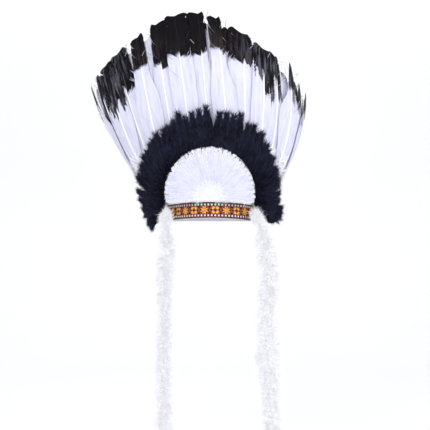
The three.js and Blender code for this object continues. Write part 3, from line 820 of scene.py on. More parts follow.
def add_vane(patchwork, rng, line, sizes):
    """The vane as clumps of barbs on both sides of the shaft.

    A barb that leaves the shaft at s ends at 1 - x * x / (x + rake), where x is 1 - s, and as far
    across as the vane is wide there. The barbs of a clump draw together towards their ends, so
    that notches open between the clumps.
    """
    clumps, columns = sizes.clumps, sizes.clump_barbs
    r = np.array([0, 0.14, 0.34, 0.58, 0.82, 1.0])
    share = np.linspace(0, 1, columns)[:, None]
    grow = np.clip(r - 0.3, 0, None) ** 1.5 / 0.7**1.5
    feather = line.feather
    for side, dark_length, wide in (
        (-1, feather.dark_left, feather.left), (1, feather.dark_right, feather.right)
    ):
        edges = np.linspace(0.125, 0.985, clumps + 1)
        edges[1:-1] += rng.uniform(-0.3, 0.3, clumps - 1) * (edges[1] - edges[0])
        low, high = edges[:-1, None, None], edges[1:, None, None]
        root = low + (high - low) * share
        x = 1 - root
        high_up = smoothstep(low, 0.76, 0.95)
        rake = (1 + rng.uniform(-0.15, 0.15, (clumps, 1, 1)) * (0.15 + 0.85 * high_up)) * sizes.rake
        end = 1 - x**2 / (x + rake)
        draw = rng.uniform(0.0, 0.7, (clumps, 1, 1)) ** 2
        draw = draw * (0.02 + (0.45 + 1.5 * feather.taper) * high_up)
        at = root + (end - root) * (0.72 * r + 0.28 * r**2)
        at = at - (2 * share - 1) * draw * (high - low) / 2 * grow
        ragged = rng.uniform(0, 0.045, (clumps, columns, 1))
        ragged = ragged * (1 + 1.6 * smoothstep(root, 0.6, 0.9))
        ragged = 1 - ragged - 0.05 * draw * (2 * share - 1) ** 2
        across = side * line.half(np.minimum(end, 1), wide) * (1.3 * r - 0.3 * r**2) * ragged
        at = root + (at - root) * (0.5 + 0.5 * ragged)
        tilt = rng.uniform(0.02, 0.07, (clumps, 1, 1)) * 0.001 * (2 * share - 1) * r
        points = line.point(at, across, 0.0002 + tilt)
        dark = line.dark(at, dark_length)
        barb = root * line.length / sizes.barb_pitch + side * 500 + line.turn * 31
        uv = np.stack(np.broadcast_arrays(barb, r), -1)
        shade = rng.uniform(0, 1, (clumps, 1, 1))
        patchwork.add_shells(points, sizes.vane_wall, uv, dark, shade)


def add_shaft(patchwork, line, sizes):
    """The quill and shaft: a bar that thins with the root of the distance left to the tip."""
    at = np.concatenate([[0.0, 0.02], np.linspace(0.06, 0.985, 24)])
    quill = 1 - smoothstep(at, 0.1, 0.24)
    radius = sizes.shaft_radius * (0.24 + 0.76 * (1 - at) ** 0.7)
    radius[0] *= 0.6
    lift = 0.0016 * quill + 0.0002
    across, along, out = line.frame(at, lift)
    centres = line.point(at, 0.0, lift)
    uv = np.stack([at * 40, at], -1)[None, :, None]
    reach = min(line.feather.dark_left, line.feather.dark_right)
    dark = line.dark(at, reach)[None, :, None]
    patchwork.add_tubes(
        centres[None], (across * radius[:, None])[None], (out * radius[:, None] * 0.8)[None],
        8, uv, dark=dark, shade=0.5, slot=1,
    )


def add_base_down(patchwork, rng, line, sizes):
    """Loose down on the foot of the vane, reaching out on both sides and curling to the tip."""
    count = sizes.base_down
    at = rng.uniform(0.045, 0.27, count)
    across, along, out = line.frame(at, 0.0012)
    side = rng.choice([-1.0, 1.0], count)[:, None]
    angle = rng.uniform(0.5, 1.35, count)[:, None]
    raised = rng.uniform(-0.1, 0.55, count)[:, None]
    first = across * side * np.sin(angle) + along * np.cos(angle) + out * raised
    second = across * side * 0.5 + along * 0.9 + out * rng.uniform(-0.5, 0.4, count)[:, None]
    length = rng.uniform(0.008, 0.018, count) * (0.7 + 0.5 * smoothstep(at, 0.04, 0.16))
    facing = unit(out + rng.normal(0, 0.5, (count, 3)))
    way = unit(first), second, facing
    patchwork.add_strands(rng, line.point(at, 0.0, 0.0012), way, length, 0.0011, (0.5, 1), slot=2)


def add_stray_barbs(patchwork, rng, line, sizes):
    """Barbs that have come loose and cross the others, dark where the tip is, but for a few."""
    count = sizes.stray_barbs
    at = rng.uniform(0.66, 0.97, count)
    side = rng.choice([-1.0, 1.0], count)
    start = rng.uniform(0.1, 0.9, count) * side * line.half(at)
    across, along, out = line.frame(at, 0.0012)
    lean = (side * rng.uniform(0.0, 0.9, count))[:, None]
    first = unit(across * lean + along + out * rng.uniform(0.0, 0.1, count)[:, None])
    second = unit(across * lean * 1.6 + along)
    length = rng.uniform(0.008, 0.024, count)
    reach = np.where(side < 0, line.feather.dark_left, line.feather.dark_right)
    dark = line.dark(at, reach)
    dark[rng.uniform(0, 1, count) < PALE_STRAYS] = NOT_DARK
    root = line.point(at, start, 0.0009)
    patchwork.add_strands(rng, root, (first, second, out), length, 0.0006, dark=dark)


def make_tall_feather(name, line, materials, seed):
    """A tall feather: its vane, shaft, the down at its foot and a few loose barbs."""
    rng = np.random.default_rng(seed)
    patchwork = Patchwork()
    add_vane(patchwork, rng, line, line.sizes)
    add_shaft(patchwork, line, line.sizes)
    add_base_down(patchwork, rng, line, line.sizes)
    add_stray_barbs(patchwork, rng, line, line.sizes)
    return seat(patchwork.build(name + "_plume", materials), name.split("_")[0] + "_vane", name)


# Ruff


def ruff_row(share):
    """The ruff's table at a share from its top, 0, to a temple end, -1 or 1."""
    place = np.abs(share) * (len(RUFF_COLUMNS["foot"]) - 1)
    rows = np.arange(len(RUFF_COLUMNS["foot"]))
    return {key: np.interp(place, rows, column) for key, column in RUFF_COLUMNS.items()}


def ruff_spine(share, length, reach, t):
    """A lock's middle line: from the cord over the quills to its tip, standing off at once.

    The viewer's left end of the ruff curls in and down, and the right end stands out and up.
    """
    row = ruff_row(share)
    foot_rise = row["foot"] * RUFF_FOOT
    top = seat_rise(row["foot_turn"])
    over = smoothstep(foot_rise, top - 2 * BACKING_MARGIN, top - 0.004)
    foot_out = BACKING_WALL + CLOTH_GAP + RUFF_CORE + over * 0.0036
    there = t * length
    turn = np.where(share < 0, -1, 1) * (row["foot_turn"] * (1 - there) + row["tip_turn"] * there)
    curl = np.sign(share) * smoothstep(np.abs(share), 0.72, 1.0)
    rise = foot_rise * (1 - there) + (row["tip"] * RUFF_TOP + RUFF_CURL * curl) * there
    full = row["out"] * RUFF_PUFF * reach * (1 + np.where(share < 0, 0.3, 0.08) * curl)
    out = foot_out + (full - foot_out) * (1 - (1 - t) ** 5)
    return turn, rise, out


def ruff_frame(share, length, reach, t):
    """A point of a lock's middle line, with unit vectors across, along and outwards."""
    here = shell_point(*ruff_spine(share, length, reach, t))
    ahead = shell_point(*ruff_spine(share, length, reach, t + 0.01))
    turn, rise, out = ruff_spine(share, length, reach, t)
    outward = unit(shell_point(turn, rise, out + 0.001) - here)
    along = unit(ahead - here)
    across = unit(np.cross(along, outward))
    return here, across, along, unit(np.cross(across, along))


def add_ruff_row(patchwork, rng, shares, pull, length, reach, barbs, sizes):
    """A row of plumes: a soft body round each middle line, and barbs that fan out from it.

    The barbs stand nearly square to the line at its foot and close up towards its tip, where a
    tuft of them spreads like a brush. pull is the share by which a tip leans along the row.
    """
    count = len(shares)

    def line_at(t, cut=1.0):
        share = shares[:, None] + pull[:, None] * (t * cut) ** 2
        return ruff_frame(share, length[:, None] * cut, reach[:, None], t)

    t = np.linspace(0, 1, 7)
    centre, across, along, out = line_at(t, 0.86)
    swell = np.array([0.5, 0.9, 1.0, 1.0, 1.0, 0.9, 0.5])[:, None]
    patchwork.add_tubes(
        centre - out * 0.0015, across * swell * sizes.ruff_body,
        out * swell * sizes.ruff_body * 0.4, 6, np.array([0.0, 0.0]), shade=0.1,
    )
    t = rng.uniform(0, 1, (count, barbs)) ** 0.8 * 0.88
    tuft = np.arange(barbs) % 3 == 0
    t[:, tuft] = rng.uniform(0.6, 0.9, (count, tuft.sum()))
    root, across, along, out = line_at(t)
    side = rng.choice([-1.0, 1.0], t.shape)[..., None]
    angle = 1.1 - 0.62 * t + rng.normal(0, 0.2, t.shape)
    angle[:, tuft] = rng.uniform(0, 1.0, (count, tuft.sum()))
    angle = angle[..., None]
    raised = rng.normal(0.15, 0.4, t.shape)[..., None]
    first = unit(across * side * np.sin(angle) + along * np.cos(angle) + out * raised)
    second = unit(
        across * side * np.sin(angle) * 0.55 + along + rng.normal(0.0, 0.28, t.shape + (3,))
    )
    barb_length = sizes.ruff_barb * (1.0 - 0.32 * t) * rng.uniform(0.55, 1.1, t.shape)
    facing = unit(out + rng.normal(0, 0.6, out.shape))
    flat = [v.reshape(-1, 3) for v in (root, first, second, facing)]
    patchwork.add_strands(rng, flat[0], flat[1:], barb_length.ravel(), 0.0008)


def bunching(shares, pull):
    """How far tips lean towards the middles of their bunches, so that small gaps open between."""
    gaps = np.array(RUFF_GAPS)
    after = np.searchsorted(gaps, shares, side="right")
    return ((gaps[after - 1] + gaps[after]) / 2 - shares) * pull


def flank(shares, sizes):
    """The share of its length that a plume keeps: less on the viewer's right, as in the photo.

    The loss sets in beside the top, eases off down the flank and grows again at the very end.
    """
    side = smoothstep(shares, 0.22, 0.42) * smoothstep(shares, 1.3, 0.75)
    return 1 - sizes.ruff_flank * (side + 0.6 * smoothstep(shares, 0.8, 0.92))


def make_ruff(sizes, material):
    rng = np.random.default_rng(RUFF_SEED)
    patchwork = Patchwork()
    main = np.linspace(-1, 1, sizes.ruff_plumes)
    lengths = np.resize([1.04, 0.98, 1.03, 0.95], main.size) - rng.uniform(0, 0.04, main.size)
    lean = bunching(main, RUFF_BUNCH_PULL)
    lengths = lengths * flank(main, sizes)
    add_ruff_row(patchwork, rng, main, lean, lengths, np.ones(main.size), sizes.ruff_barbs, sizes)
    between = (main[:-1] + main[1:]) / 2
    lengths = rng.uniform(0.87, 1.0, between.size) * flank(between, sizes)
    lean = bunching(between, RUFF_BUNCH_PULL)
    reach = np.full(between.size, 1.12)
    add_ruff_row(patchwork, rng, between, lean, lengths, reach, sizes.ruff_barbs, sizes)
    front = main[1:-1]
    lengths = rng.uniform(0.5, 0.68, front.size)
    reach = np.full(front.size, 0.95)
    add_ruff_row(patchwork, rng, front, 0 * front, lengths, reach, sizes.ruff_barbs, sizes)
    return seat(patchwork.build("ruff_down", [material], sharp=False), "black_down", "ruff")


# Crest


def make_crest(sizes, materials):
    """Short feathers side by side in a polar grid, each lifted a little over its neighbour."""
    rng = np.random.default_rng(CREST_SEED)
    patchwork = Patchwork()
    count, columns, rows = sizes.crest_feathers, 9, 12
    v = np.linspace(0, 1, rows)
    u = np.linspace(-1, 1, columns)[:, None]
    middle = np.linspace(-CREST_END + 4, CREST_END - 4, count)[:, None, None]
    spread = 2 * CREST_END / count * 0.72
    tip = 1 - 0.07 * np.abs(u) ** 2.5 - rng.uniform(0, 0.05, (count, 1, 1))
    tip = tip - rng.uniform(0, 0.018, (count, columns, 1))
    share = CREST_ROOT + (tip - CREST_ROOT) * v
    narrow = 1 - 0.35 * v**6
    angle = np.clip(middle + u * spread * narrow, -CREST_END, CREST_END)
    crown = 0.0012 * (1 - u**2) * np.minimum(1, v * 3)
    lap = 0.0007 * u * np.minimum(1, v * 2) + rng.uniform(0, 0.0008, (count, 1, 1)) * v
    points = crest_point(angle, share, crest_out(share) + CREST_WALL + crown + lap)
    barb = middle * 40 + u * 14 + 0 * v
    uv = np.stack(np.broadcast_arrays(barb, v), -1)
    patchwork.add_shells(points, CREST_VANE_WALL, uv, shade=rng.uniform(0, 1, (count, 1, 1)))

    # Thin shafts
    v = np.linspace(0, 0.9, 10)
    middle = middle[:, 0]
    share = CREST_ROOT + (1 - CREST_ROOT) * v * tip[:, 4]
    lift = crest_out(share) + CREST_WALL + 0.0011
    centres = crest_point(middle, share, lift)
    across = unit(crest_point(middle + 0.1, share, lift) - centres)
    out = unit(crest_point(middle, share, lift + 0.001) - centres)
    radius = (0.0003 * (1 - v) + 0.00015)[:, None]
    uv = np.stack([v * 9, 0.5 + v / 2], -1)[:, None]
    patchwork.add_tubes(centres, across * radius, out * radius, 6, uv, slot=1)

    # Barbs that lie on the dome and cross its edge
    strands = sizes.crest_barbs
    pick = rng.uniform(-CREST_END, CREST_END, strands)
    share = rng.uniform(0.07, 0.84, strands)
    outer = rng.uniform(0, 1, strands) < 0.14
    share[outer] = rng.uniform(0.88, 0.96, outer.sum())
    lift = crest_out(share) + CREST_WALL + 0.0016
    here = crest_point(pick, share, lift)
    radial = unit(crest_point(pick, share + 0.01, lift) - here)
    round_way = unit(crest_point(pick + 0.5, share, lift) - here)
    out = unit(np.cross(round_way, radial))
    out *= np.sign(np.sum(out * (crest_point(pick, share, lift + 0.001) - here), -1))[:, None]
    lean = rng.normal(0, 0.3, strands)[:, None]
    first = unit(radial + round_way * lean + out * rng.uniform(0.0, 0.12, strands)[:, None])
    second = unit(radial + round_way * lean * 1.5 - out * 0.06)
    short, long = rng.uniform(0.001, 0.004, strands), rng.uniform(0.006, 0.013, strands)
    length = np.where(outer, short, long)
    patchwork.add_strands(rng, here, (first, second, out), length, 0.0006, (0.4, 1), slot=2)

    # A fringe that rises from the ribbon's upper edge over the foot of the crest
    fringe = strands // 3
    turn = rng.uniform(-60, 60, fringe)
    rise = BAND_HEIGHT - RIBBON_INSET + arch_rise(turn) + rng.uniform(0.0003, 0.005, fringe)
    stand = RIBBON_OUT + rng.uniform(0.0002, 0.0022, fringe)
    here = shell_point(turn, rise, stand)
    up = unit(shell_point(turn, rise + 0.001, stand) - here)
    sideways = unit(shell_point(turn + 0.5, rise, stand) - here)
    out = unit(shell_point(turn, rise, stand + 0.001) - here)
    lean = (turn / 45 + rng.normal(0, 0.35, fringe))[:, None]
    first = unit(up + sideways * lean + out * 0.25)
    second = unit(up + sideways * lean * 1.3 + out * rng.uniform(0.1, 0.6, fringe)[:, None])
    length = rng.uniform(0.006, 0.016, fringe)
    patchwork.add_strands(rng, here, (first, second, out), length, 0.0008, (0.4, 1), slot=2)
    return seat(patchwork.build("crest_feathers", materials), "crest_vane", "crest")


# Drops


def drop_line(drop, share):
    """A drop's middle line and radius at a share of its length: the table, its corners rounded."""
    knots = np.linspace(0, 1, 201)
    weights = np.hanning(25) / np.hanning(25).sum()

    def smooth(column):
        fine = np.pad(np.interp(knots, drop.down, column), 12, mode="edge")
        return np.interp(share, knots, np.convolve(fine, weights, mode="valid"))

    turn = drop.side * DROP_TURN
    start = shell_point(turn, DROP_SEAT_RISE - DROP_ELBOW, RIBBON_OUT + RIBBON_WALL + DROP_SEAT_OUT)
    down = np.clip(share, 0, 1) * DROP_LENGTH
    sideways = start[0] + drop.side * DROP_SWING * smooth(drop.sideways)
    forward = start[1] + DROP_SWING * smooth(drop.forward)
    return np.stack([sideways, forward, start[2] - down], -1), drop.radius * smooth(drop.wide)


def make_drop(name, sizes, material, seed):
    """Small feathers of down, each with barbs all round, hung in overlapping tiers on a cord."""
    rng = np.random.default_rng(seed)
    drop = DROPS[name]
    patchwork = Patchwork()

    # The cord and the dense down round it
    share = np.linspace(0, 0.985, 46)
    centre, radius = drop_line(drop, share)
    body = (0.32 * radius)[:, None]
    # shade 0 gives the dense down round the cord the deep, shaded tone: painted shade at the drop's
    # core
    patchwork.add_tubes(
        centre[None], (np.array([1.0, 0, 0]) * body)[None], (np.array([0, -1.0, 0]) * body)[None],
        10, np.array([0.0, 0.0]), shade=0.0,
    )

    # Each small feather leaves the cord outwards and hangs down
    tufts = sizes.drop_tufts
    share = np.clip((np.arange(tufts) + rng.uniform(-0.4, 0.4, tufts)) / tufts * 0.97, 0, 0.97)
    centre, radius = drop_line(drop, share)
    angle = np.arange(tufts) * GOLDEN_ANGLE + rng.normal(0, 0.3, tufts)
    way = np.stack([np.sin(angle), -np.cos(angle), np.zeros(tufts)], -1)
    turn = np.radians(drop.side * DROP_TURN)
    outward = np.array([np.sin(turn), -np.cos(turn), 0])
    beside = smoothstep(centre[:, 2], -0.03, -0.01)[:, None]
    inward = np.minimum(0, way @ outward)[:, None] * beside
    way = unit(way - outward * inward * 1.4 + outward * 0.1 * beside)
    fall = np.array([0, 0, -1.0])
    spine = rng.uniform(0.75, 1.05, tufts) * radius * drop.full
    t = rng.uniform(0.0, 1.0, (tufts, sizes.tuft_barbs))
    reach = spine[:, None] * (1.1 * t - 0.3 * t**2)
    hang = spine[:, None] * (0.2 * t + 0.8 * t**2)
    root = centre[:, None] + way[:, None] * reach[..., None] + fall * hang[..., None]
    tangent = unit(way[:, None] * (1 - 0.6 * t)[..., None] + fall * (0.2 + 1.6 * t)[..., None])
    loose = rng.normal(0, 1, t.shape + (3,)) * np.array([1, 1, 0.55]) + way[:, None] * 1.3
    loose = unit(loose - tangent * np.sum(loose * tangent, -1, keepdims=True) * 0.7)
    first = unit(loose + tangent * rng.uniform(-0.1, 0.5, t.shape)[..., None])
    second = unit(loose * 1.1 + tangent * 0.3 + fall * 0.2 + rng.normal(0, 0.3, loose.shape))
    length = sizes.drop_barb * (0.6 + 0.45 * radius[:, None] / drop.radius)
    length = length * rng.uniform(0.5, 1.15, t.shape)
    facing = unit(rng.normal(0, 1, loose.shape))
    flat = [v.reshape(-1, 3) for v in (root, first, second, facing)]
    inside = np.maximum(0, -(flat[0] + flat[2] * 0.006 - centre.repeat(t.shape[1], 0)) @ outward)
    keep = (flat[0][:, 2] < -0.012) | (inside < 0.005)
    root, *way = (v[keep] for v in flat)
    patchwork.add_strands(rng, root, way, length.ravel()[keep], 0.0007, (0.25, 1))

    # The tuft over the ribbon's end
    count = sizes.top_tuft
    centre, radius = drop_line(drop, rng.uniform(0, 0.03, count))
    side = np.array([-outward[1], outward[0], 0])
    inwards = -drop.side * side * rng.uniform(-0.001, 0.013, count)[:, None]
    centre = centre + inwards + rng.normal(0, 0.002, centre.shape)
    ahead = outward * rng.uniform(0.25, 1.0, count)[:, None]
    spread = side * rng.normal(0, 0.75, count)[:, None]
    spread = spread + np.array([0, 0, 1.0]) * rng.normal(0.1, 0.75, count)[:, None]
    first = unit(ahead + spread)
    second = unit(spread + ahead * 0.3 - np.array([0, 0, 0.5]) + rng.normal(0, 0.3, first.shape))
    facing = unit(rng.normal(0, 1, first.shape))
    length = rng.uniform(0.009, 0.019, count)
    patchwork.add_strands(rng, centre, (first, second, facing), length, 0.0007, (0.3, 1))
    return seat(patchwork.build(name + "_down", [material], sharp=False), "white_down", name)


# Cloth


def make_headband(material):
    """A strip of felt round the head: a rounded oblong section carried round an ellipse."""
    corner = 0.0007
    angle = np.linspace(0, 2 * np.pi, 192, endpoint=False)
    bend = np.linspace(0, np.pi / 2, 4)
    quarter = np.stack([np.cos(bend), np.sin(bend)], -1) * corner
    half_wall, half_height = BAND_WALL / 2 - corner, BAND_HEIGHT / 2 - corner
    corners = [
        quarter + [half_wall, half_height],
        quarter[:, ::-1] * [-1, 1] + [-half_wall, half_height],
        quarter * [-1, -1] + [-half_wall, -half_height],
        quarter[:, ::-1] * [1, -1] + [half_wall, -half_height],
    ]
    section = np.concatenate(corners)
    normal = unit(np.stack([np.cos(angle) / BAND_HALF_X, np.sin(angle) / BAND_HALF_Y], -1))
    centre = np.stack([BAND_HALF_X * np.cos(angle), BAND_HALF_Y * np.sin(angle)], -1)
    plan = centre[:, None] + normal[:, None] * section[None, :, :1]
    arch = BROW_ARCH * np.maximum(0, -np.sin(angle)) ** 2
    rise = section[:, 1] + BAND_HEIGHT / 2 + arch[:, None]
    points = np.concatenate([plan, rise[..., None]], -1)
    rings, count = points.shape[:2]
    i, j = np.meshgrid(np.arange(rings), np.arange(count), indexing="ij")
    after, above = (i + 1) % rings, (j + 1) % count
    low, high = i * count, after * count
    quads = np.stack([low + j, high + j, high + above, low + above], -1)
    patchwork = Patchwork()
    uv = np.stack(np.broadcast_arrays((angle * 0.0885 * 1000)[:, None], section[:, 1] * 1000), -1)
    patchwork.add(points, quads.reshape(-1, 4), uv)
    piece = seat(patchwork.build("headband_felt", [material]), "band_felt", "headband")
    return piece


def make_backing(material):
    """The felt backing: the flared shell from above the band's edge to a margin over the quills."""
    turn = np.linspace(-BACKING_TURN, BACKING_TURN, 121)[:, None]
    top = seat_rise(turn) + BACKING_MARGIN
    low = BACKING_LAP + arch_rise(turn)
    rise = low + (top - low) * np.linspace(0, 1, 25)
    points = shell_point(turn, rise, BACKING_WALL / 2)
    uv = np.stack(np.broadcast_arrays(turn, rise * 1000), -1)
    patchwork = Patchwork()
    patchwork.add_shells(points[None], BACKING_WALL, uv[None])
    piece = seat(patchwork.build("backing_sheet", [material]), "backing_felt", "backing")
    sides = np.diff(points, axis=0)[:, :-1], np.diff(points, axis=1)[:-1]
    width = np.linalg.norm(sides[0][:, -1], axis=-1).sum()
    return piece


def make_ribbon(sizes, material):
    """The ribbon: a thin shell round the brow, with its chart in millimetres.

    The cloth is drawn a little tighter on the viewer's left: motif n lies pitch * n +
    stretch * n * n / 2 from the first flower, and the chart holds pitch * n.
    """
    turn = np.linspace(-RIBBON_TURN, RIBBON_TURN, 161)[:, None]
    rise = np.linspace(RIBBON_INSET, BAND_HEIGHT - RIBBON_INSET, 17)
    out = RIBBON_OUT + RIBBON_WALL / 2
    height = rise + arch_rise(turn)
    points = shell_point(turn, height, out)
    steps = np.linalg.norm(np.diff(points[:, 0], axis=0), axis=-1)
    along = np.concatenate([[0], np.cumsum(steps)]) * 1000
    length = along[-1]
    past = along - np.interp(0.0, turn[:, 0], along) - sizes.chart_shift * 1000
    motif = (np.sqrt(CHART_PITCH**2 + 2 * CHART_STRETCH * past) - CHART_PITCH) / CHART_STRETCH
    chart = motif * CHART_PITCH
    uv = np.stack(np.broadcast_arrays(chart[:, None], (rise - BAND_HEIGHT / 2) * 1000), -1)
    ripple = 0.00012 * np.sin(along / 9)[:, None] * np.cos(rise * 300)
    points = shell_point(turn, height, out + ripple)
    patchwork = Patchwork()
    patchwork.add_shells(points[None], RIBBON_WALL, uv[None])
    piece = seat(patchwork.build("ribbon_weave", [material]), "woven_ribbon", "brow_ribbon")
    height = BAND_HEIGHT - 2 * RIBBON_INSET
    return piece


# Settings


def metres(label, description, default, low, high):
    return FloatProperty(
        name=label, description=description, default=default, min=low, max=high, unit="LENGTH"
    )


def amount(label, description, default, low, high):
    return FloatProperty(name=label, description=description, default=default, min=low, max=high)


def whole(label, description, default, low, high):
    return IntProperty(name=label, description=description, default=default, min=low, max=high)


def tint(label, description, default):
    return FloatVectorProperty(
        name=label, description=description, default=default, size=3, min=0, max=1, subtype="COLOR"
    )


class HeaddressSizes(bpy.types.PropertyGroup):
    vane_half: metres("Vane half width", "From the shaft to the vane's edge", 0.023, 0.01, 0.03)
    vane_wall: metres("Vane wall", "Thickness of a tall feather's vane", 0.0004, 0.0002, 0.001)
    clumps: whole("Clumps", "Clumps of barbs on each side of a tall feather", 14, 4, 24)
    clump_barbs: whole("Barbs in a clump", "Rows of points across a clump", 8, 4, 16)
    rake: amount("Rake", "How far barbs reach up, as a share of the feather", 0.1, 0.02, 0.3)
    barb_pitch: metres("Barb pitch", "Distance between barbs on the shaft", 0.0006, 0.0003, 0.002)
    shaft_radius: metres("Shaft radius", "Radius of the quill", 0.0022, 0.001, 0.0024)
    base_down: whole("Base down", "Loose barbs at the foot of a tall feather", 70, 0, 400)
    stray_barbs: whole("Stray barbs", "Loose barbs near the tip", 20, 0, 120)
    ruff_plumes: whole("Ruff plumes", "Plumes in the ruff's main row", 29, 9, 41)
    ruff_barbs: whole("Ruff barbs", "Barbs of one black plume", 400, 40, 500)
    ruff_barb: metres("Ruff barb length", "Barbs near a plume's foot", 0.02, 0.01, 0.03)
    ruff_body: metres("Ruff body", "Half width of the down inside a plume", 0.009, 0.002, 0.011)
    ruff_flank: amount("Ruff flank", "Share by which right plumes are shorter", 0.2, 0, 0.4)
    crest_feathers: whole("Crest feathers", "Short feathers round the crest", 36, 12, 60)
    crest_barbs: whole("Crest barbs", "Loose barbs on the crest", 9000, 0, 12000)
    drop_tufts: whole("Drop tufts", "Small feathers on the cord of a drop", 250, 20, 260)
    tuft_barbs: whole("Tuft barbs", "Barbs of one small feather", 150, 20, 300)
    drop_barb: metres("Drop barb length", "Barbs on the drops", 0.0145, 0.004, 0.02)
    top_tuft: whole("Top tuft", "Barbs over a drop's seat", 1500, 0, 4000)
    chart_shift: metres("Ribbon chart shift", "Brow to nearest flower", 0.0095, -0.02, 0.02)


class HeaddressColours(bpy.types.PropertyGroup):
    vane: tint("Vane", "White of the tall feathers", (0.72, 0.725, 0.88))
    vane_shade: tint("Vane streaks", "Soft streaks in the white", (0.625, 0.635, 0.825))
    vane_grey: tint("Vane grey", "Grey near the dark tips", (0.3, 0.3, 0.38))
    tip: tint("Tip", "Dark tips", (0.0035, 0.003, 0.006))
    tip_brown: tint("Tip brown", "Brown in the dark tips", (0.036, 0.025, 0.026))
    tip_pale: tint("Tip pale", "Pale barbs in the dark tips", (0.42, 0.37, 0.36))
    shaft: tint("Shaft", "White of the shafts", (0.97, 0.97, 0.98))
    shaft_tip: tint("Shaft in the tip", "Dark end of a shaft", (0.012, 0.009, 0.01))
    quill: tint("Quill", "Yellow of the quills", (0.8, 0.75, 0.6))
    # The deep colours of the down are shaded copies, mixed in partly as painted shade; the colour
    # of the barbs' ends is a painted highlight.
    down: tint("Down", "White down", (0.95, 0.95, 0.98))
    down_deep: tint("Down, deep", "Shaded white down", (0.9, 0.9, 0.955))
    down_painted_highlight: tint("Down, ends", "Ends of the white barbs", (0.97, 0.97, 0.98))
    crest: tint("Crest barbs", "Loose barbs of the crest", (0.95, 0.95, 0.96))
    crest_deep: tint("Crest barbs, deep", "Shaded barbs of the crest", (0.86, 0.86, 0.92))
    drop: tint("Drops", "Down of the drops", (0.965, 0.965, 0.978))
    drop_deep: tint("Drops, deep", "Shaded down of the drops", (0.93, 0.928, 0.958))
    # The ruff's deep colour is a shaded copy, mixed in partly as painted shade, and its ends colour
    # is a painted highlight on the barbs' ends.
    ruff: tint("Ruff", "Black down", (0.019, 0.02, 0.043))
    ruff_deep: tint("Ruff, deep", "Deepest black", (0.003, 0.003, 0.008))
    ruff_painted_highlight: tint("Ruff, ends", "Ends of the black barbs", (0.06, 0.064, 0.12))
    felt: tint("Headband felt", "White felt round the head", (0.78, 0.78, 0.8))
    felt_fibre: tint("Headband fibres", "Fibres of the white felt", (0.6, 0.6, 0.64))
    backing: tint("Backing felt", "White felt behind the ruff", (0.76, 0.76, 0.79))
    backing_fibre: tint("Backing fibres", "Fibres of the backing", (0.6, 0.6, 0.64))
    orange: tint("Orange", "Orange thread", (1.0, 0.36, 0.045))
    yellow: tint("Yellow", "Yellow thread", (1.0, 0.66, 0.2))
    red: tint("Red", "Red thread", (0.4, 0.07, 0.05))
    maroon: tint("Maroon", "Dark red thread", (0.13, 0.02, 0.035))
    thread: tint("Crossing threads", "Pale threads between flowers", (0.6, 0.3, 0.12))
    ribbon_black: tint("Ribbon black", "Black thread", (0.012, 0.008, 0.012))
    ribbon_white: tint("Ribbon white", "White thread", (0.85, 0.82, 0.85))


class HeaddressStage(bpy.types.PropertyGroup):
    camera_place: FloatVectorProperty(
        name="Camera", description="Where the camera stands", default=(0.009, -2.2, 0.012),
        size=3, subtype="TRANSLATION",
    )
    lens: amount("Lens", "Focal length in millimetres", 100.3, 35, 200)
    floor_drop: metres("Floor drop", "From the origin down to the floor", 0.47, 0.45, 1)
    key: amount("Key light", "Strength of the large front light", 26, 0, 200)
    fill: amount("Fill light", "Strength of the side light", 16, 0, 200)
    back: amount("Back light", "Strength of the light on the backdrop", 30, 0, 200)
    world: amount("World", "Strength of the light all round", 0.75, 0, 3)


# Operators


def settings():
    return bpy.context.scene.headdress_sizes, bpy.context.scene.headdress_colours


class HEADDRESS_OT_cloth(bpy.types.Operator):
    """Builds the headband, the backing and the woven ribbon"""

    bl_idname = "headdress.cloth"
    bl_label = "Headband, backing and ribbon"

    def execute(self, context):
        sizes, colours = settings()
        make_headband(felt_finish("white_felt", colours.felt, colours.felt_fibre))
        make_backing(felt_finish("backing_felt", colours.backing, colours.backing_fibre))
        make_ribbon(sizes, ribbon_finish(colours))
        return {"FINISHED"}


class HEADDRESS_OT_tall_feathers(bpy.types.Operator):
    """Builds both rows of tall feathers in the fan"""

    bl_idname = "headdress.tall_feathers"
    bl_label = "Tall feathers"

    def execute(self, context):
        sizes, colours = settings()
        tones = colours.down, colours.down_deep, colours.down_painted_highlight
        # 0.1 is the strength of the white down's painted glow
        down = down_finish("white_down", *tones, 0.12, 0.1)
        materials = [vane_finish(colours), shaft_finish(colours), down]
        for row, feathers, base in (("back", BACK_ROW, 0), ("front", FRONT_ROW, 2)):
            for i, feather in enumerate(feathers):
                turn = TURN_STEP * (i - (len(feathers) - 1) / 2)
                line = FeatherLine(turn, base + i % 2, feather, sizes)
                make_tall_feather(f"{row}_feather_{i + 1:02d}", line, materials, 100 * base + i)
        return {"FINISHED"}


class HEADDRESS_OT_ruff(bpy.types.Operator):
    """Builds the black plumes round the foot of the fan"""

    bl_idname = "headdress.ruff"
    bl_label = "Ruff"

    def execute(self, context):
        sizes, colours = settings()
        tones = colours.ruff, colours.ruff_deep, colours.ruff_painted_highlight
        make_ruff(sizes, down_finish("black_down", *tones, 0.06, 0, 0.5))
        return {"FINISHED"}


class HEADDRESS_OT_crest(bpy.types.Operator):
    """Builds the white crest over the brow"""

    bl_idname = "headdress.crest"
    bl_label = "Crest"

    def execute(self, context):
        sizes, colours = settings()
        tones = colours.crest, colours.crest_deep, colours.down
        # 0.045 is the strength of the crest down's painted glow
        down = down_finish("crest_down", *tones, 0.1, 0.045)
        make_crest(sizes, [vane_finish(colours), shaft_finish(colours), down])
        return {"FINISHED"}


class HEADDRESS_OT_drops(bpy.types.Operator):
    """Builds the two white drops at the temples"""

    bl_idname = "headdress.drops"
    bl_label = "Drops"

    def execute(self, context):
        sizes, colours = settings()
        tones = colours.drop, colours.drop_deep, colours.down
        # the last number, 0.1, is the strength of the drops' painted glow
        material = down_finish("drop_down", *tones, 0.1, 0.1)
        for seed, name in enumerate(DROPS, DROP_SEED):
            make_drop(name, sizes, material, seed)
        return {"FINISHED"}


